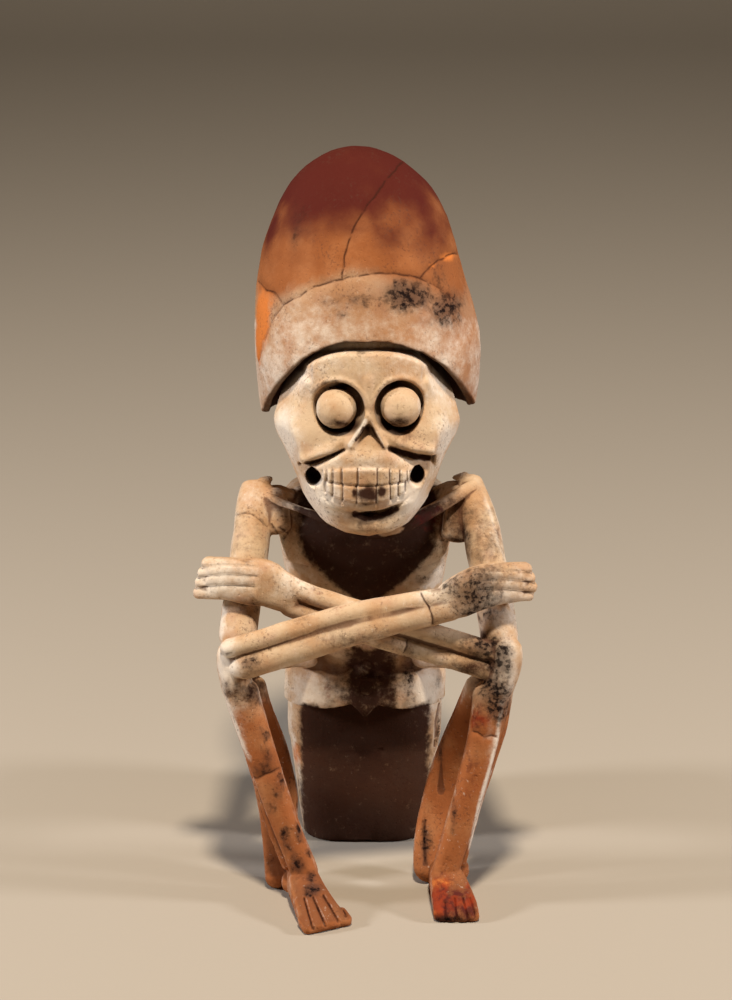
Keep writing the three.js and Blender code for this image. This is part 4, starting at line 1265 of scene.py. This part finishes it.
clayClouds = {
    # scale of the noise and the values between which a cloud goes from 0 to 1
    "tan": (42.0, 0.38, 0.64), "rose": (90.0, 0.48, 0.74), "blotch": (60.0, 0.42, 0.7),
    "dust": (680.0, 0.6, 0.7), "dusty": (75.0, 0.4, 0.6), "grime": (760.0, 0.52, 0.68),
    "grimy": (55.0, 0.42, 0.62), "speck": (330.0, 0.64, 0.76), "vermilion": (140.0, 0.42, 0.6),
    "tar": (380.0, 0.44, 0.6), "crack": (230.0, 0.3, 0.5),
}
clayEdges = {
    # scale of the noise that breaks up a layer, how far it does so, and how soft the edge is
    "dark": (22.0, 0.9, 0.5), "paleAndHighlight": (150.0, 1.3, 0.42), "orangeFillAndLit": (160.0, 0.5, 0.2),
    "sootAndShade": (260.0, 1.4, 0.4), "redPaint": (240.0, 1.5, 0.25), "tar": (120.0, 1.3, 0.3),
}
clayFinish = {
    # colours in linear light
    "tan": (0.55, 0.395, 0.252), "orange": (0.46, 0.27, 0.142), "rose": (0.45, 0.25, 0.185),
    "domeClay": (0.27, 0.09, 0.030), "domeLight": (0.35, 0.135, 0.052), "redBrown": (0.075, 0.014, 0.010),
    # bloom also serves painted highlights, dirt and soot also painted shade, and fill also a painted pool
    # of light
    "legClay": (0.32, 0.105, 0.036), "legLight": (0.40, 0.17, 0.07), "bloomAndHighlight": (0.76, 0.67, 0.56),
    "fillAndLit": (0.56, 0.17, 0.04), "dirtAndShade": (0.10, 0.038, 0.02), "speck": (0.085, 0.036, 0.024),
    "sootAndShade": (0.032, 0.011, 0.007), "crack": (0.035, 0.011, 0.007), "wine": (0.07, 0.012, 0.012),
    "vermilion": (0.24, 0.032, 0.012), "smear": (0.05, 0.026, 0.02), "tar": (0.008, 0.005, 0.005),
    "roughness": 0.8, "tarRoughness": 0.9, "shine": 0.02,
    "bump": 0.00022, "bumpStrength": 0.8, "grit": 0.9, "pits": 0.8, "scrapes": 0.7, "tarRise": 0.6,
}


def makeClay():
    clouds, patch, grain = cloudGroup(), patchGroup(), grainGroup()
    material = bpy.data.materials.new("firedClay")
    material.use_nodes = True
    tree = material.node_tree
    tree.nodes.clear()
    place = tree.nodes.new("ShaderNodeTexCoord").outputs["Object"]

    def layer(name):
        return wire(tree, "ShaderNodeAttribute", attribute_name=name).outputs["Fac"]

    def blend(amount, under, over):
        node = wire(tree, "ShaderNodeMix", {0: amount}, data_type="RGBA")
        for socket, value in ((node.inputs[6], under), (node.inputs[7], over)):
            feed(tree, socket, (*value, 1) if isinstance(value, tuple) else value)
        return node.outputs[2]

    def times(value, factor):
        return calc(tree, "MULTIPLY", value, factor, clamped=True)

    def cloud(name):
        scale, low, high = clayClouds[name]
        return placeGroup(tree, clouds, {"Vector": place, "Scale": scale, "Low": low, "High": high})

    def ragged(name):
        scale, amount, edge = clayEdges[name]
        inputs = {"Mask": layer(name), "Vector": place, "Scale": scale, "Ragged": amount, "Edge": edge}
        return placeGroup(tree, patch, inputs)

    def share(value, low, high):
        return spreadOver(tree, value, low, high, shape="LINEAR")

    f = clayFinish
    light = blend(cloud("tan"), f["orange"], f["tan"])
    light = blend(times(cloud("rose"), 0.3), light, f["rose"])
    blotch = times(cloud("blotch"), 0.8)
    colour = blend(layer("dome"), light, blend(blotch, f["domeClay"], f["domeLight"]))
    colour = blend(layer("leg"), colour, blend(blotch, f["legClay"], f["legLight"]))
    colour = blend(times(layer("sole"), 0.55), colour, f["dirtAndShade"])
    colour = blend(ragged("dark"), colour, f["redBrown"])
    # pale bloom together with painted highlights
    colour = blend(times(ragged("paleAndHighlight"), 0.85), colour, f["bloomAndHighlight"])
    dust = times(times(cloud("dust"), cloud("dusty")), share(layer("dome"), 1.0, 0.2))
    colour = blend(times(dust, 0.35), colour, f["bloomAndHighlight"])
    # orange fill stains and a painted pool of light on the seat's side
    colour = blend(ragged("orangeFillAndLit"), colour, f["fillAndLit"])
    # painted shade in hollows and creases
    colour = blend(times(share(layer("bowlShade"), 0.1, 0.8), 0.75), colour, f["dirtAndShade"])
    colour = blend(times(times(cloud("grime"), cloud("grimy")), 0.6), colour, f["speck"])
    colour = blend(times(cloud("speck"), 0.5), colour, f["speck"])
    # soot stains together with painted shade
    colour = blend(times(ragged("sootAndShade"), 0.97), colour, f["sootAndShade"])
    # painted shade in the eye sockets, the mouth corners and under the cap
    colour = blend(times(layer("hollow"), 0.96), colour, f["sootAndShade"])
    paint = blend(cloud("vermilion"), f["wine"], f["vermilion"])
    colour = blend(times(ragged("redPaint"), 0.9), colour, paint)
    colour = blend(times(layer("tar"), 0.5), colour, f["speck"])
    smear = ragged("tar")
    colour = blend(times(smear, 0.6), colour, f["smear"])
    tar = times(smear, cloud("tar"))
    colour = blend(times(tar, 0.96), colour, f["tar"])
    colour = blend(times(layer("crack"), times(cloud("crack"), 0.95)), colour, f["crack"])

    rough = spreadOver(tree, tar, 0.0, 1.0, f["roughness"], f["tarRoughness"], "LINEAR")
    height = placeGroup(tree, grain, {
        "Vector": place, "Grit": f["grit"], "Pits": f["pits"], "Scrapes": f["scrapes"]})
    height = calc(tree, "MULTIPLY_ADD", tar, f["tarRise"], height)
    bump = wire(tree, "ShaderNodeBump", {
        "Height": height, "Strength": f["bumpStrength"], "Distance": f["bump"]})
    surface = wire(tree, "ShaderNodeBsdfPrincipled", {
        "Base Color": colour, "Roughness": rough, "Normal": bump.outputs["Normal"],
        "Specular IOR Level": f["shine"]})
    out = tree.nodes.new("ShaderNodeOutputMaterial")
    tree.links.new(surface.outputs["BSDF"], out.inputs["Surface"])
    return material


# Floor, light and camera

studio = {
    # the floor's colour, its flat stretch behind the figure and the radius of its sweep, in m
    "floor": (0.36, 0.31, 0.25), "floorFlat": 2.2, "floorRadius": 0.9,
    "keyTurn": 4, "keyLift": 67, "keyAway": 2.0, "keySize": 0.21, "keyPower": 55,
    "keyColour": (1.0, 0.88, 0.72),
    "sideTurn": (-84, 82), "sideLift": 20, "sideAway": 1.3, "sideSize": 0.2, "sidePower": (13, 12),
    "sideColour": (0.94, 0.95, 1.0), "world": (0.50, 0.45, 0.42), "worldStrength": 0.025,
}


def addLight(name, turn, lift, away, size, power, colour, aim):
    # turn is 0 straight in front of the figure and grows towards its left hand
    lamp = bpy.data.lights.new(name, "AREA")
    lamp.shape = "DISK"
    lamp.size = size
    lamp.energy = power
    lamp.color = colour
    turn, lift = math.radians(turn), math.radians(lift)
    reach = Vector((math.sin(turn) * math.cos(lift), -math.cos(turn) * math.cos(lift), math.sin(lift)))
    thing = bpy.data.objects.new(name, lamp)
    thing.location = aim + reach * away
    thing.rotation_euler = (-reach).to_track_quat("-Z", "Y").to_euler()
    bpy.context.scene.collection.objects.link(thing)


def makeStudio():
    # the floor runs flat under the figure and sweeps up behind it
    columns, rows = 41, 90
    flat, radius = studio["floorFlat"], studio["floorRadius"]
    sweep = radius * math.pi / 2
    reach = -2.0 + np.linspace(0, 1, rows) * (2 + flat + sweep + 1.6)
    bend = np.clip((reach - flat) / radius, 0, math.pi / 2)
    y = np.minimum(reach, flat) + radius * np.sin(bend)
    z = radius * (1 - np.cos(bend)) + np.maximum(0, reach - flat - sweep)
    across = np.linspace(-3, 3, columns)
    grid = np.stack(np.broadcast_arrays(across, y[:, None], z[:, None]), -1).reshape(-1, 3)
    i, j = np.meshgrid(np.arange(rows - 1), np.arange(columns - 1), indexing="ij")
    corner = i * columns + j
    quads = np.stack([corner, corner + 1, corner + columns + 1, corner + columns], -1).reshape(-1, 4)
    mesh = bpy.data.meshes.new("floor")
    mesh.from_pydata(grid.tolist(), [], quads.tolist())
    mesh.polygons.foreach_set("use_smooth", np.ones(len(quads), bool))
    floor = bpy.data.objects.new("floor", mesh)
    bpy.context.scene.collection.objects.link(floor)
    paint = bpy.data.materials.new("paleFloor")
    paint.use_nodes = True
    shader = paint.node_tree.nodes["Principled BSDF"]
    shader.inputs["Base Color"].default_value = (*studio["floor"], 1)
    shader.inputs["Roughness"].default_value = 0.9
    mesh.materials.append(paint)

    aim = Vector(toFrame([0, 60, 170]).tolist())
    s = studio
    addLight("keyLight", s["keyTurn"], s["keyLift"], s["keyAway"], s["keySize"], s["keyPower"],
             s["keyColour"], aim)
    for name, turn, power in zip(("leftLight", "rightLight"), s["sideTurn"], s["sidePower"]):
        addLight(name, turn, s["sideLift"], s["sideAway"], s["sideSize"], power, s["sideColour"], aim)
    world = bpy.data.worlds.new("studio")
    world.use_nodes = True
    world.node_tree.nodes["Background"].inputs["Color"].default_value = (*s["world"], 1)
    world.node_tree.nodes["Background"].inputs["Strength"].default_value = s["worldStrength"]
    bpy.context.scene.world = world
    bpy.context.scene.view_settings.view_transform = "Standard"


def makeCamera():
    frameHeight, centreColumn = 1000, 366
    lens = bpy.data.cameras.new("photoView")
    lens.sensor_fit = "VERTICAL"
    lens.sensor_height = 24
    lens.lens = 24 * view["focal"] / frameHeight
    lens.clip_start, lens.clip_end = 0.05, 30
    camera = bpy.data.objects.new("photoView", lens)
    aside = (centreColumn - view["centre"][0]) / pixelsPerMm
    camera.location = Vector(toFrame(eyePoint + [aside, 0, 0]).tolist())
    camera.rotation_euler = Vector(forward).to_track_quat("-Z", "Y").to_euler()
    bpy.context.scene.collection.objects.link(camera)
    bpy.context.scene.camera = camera


makeCamera()
makeStudio()
figureClay = makeFigure()
markSurface(figureClay)
figureClay.data.materials.append(makeClay())
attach(figureClay, "root")
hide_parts("figure")
print("figure dressed")
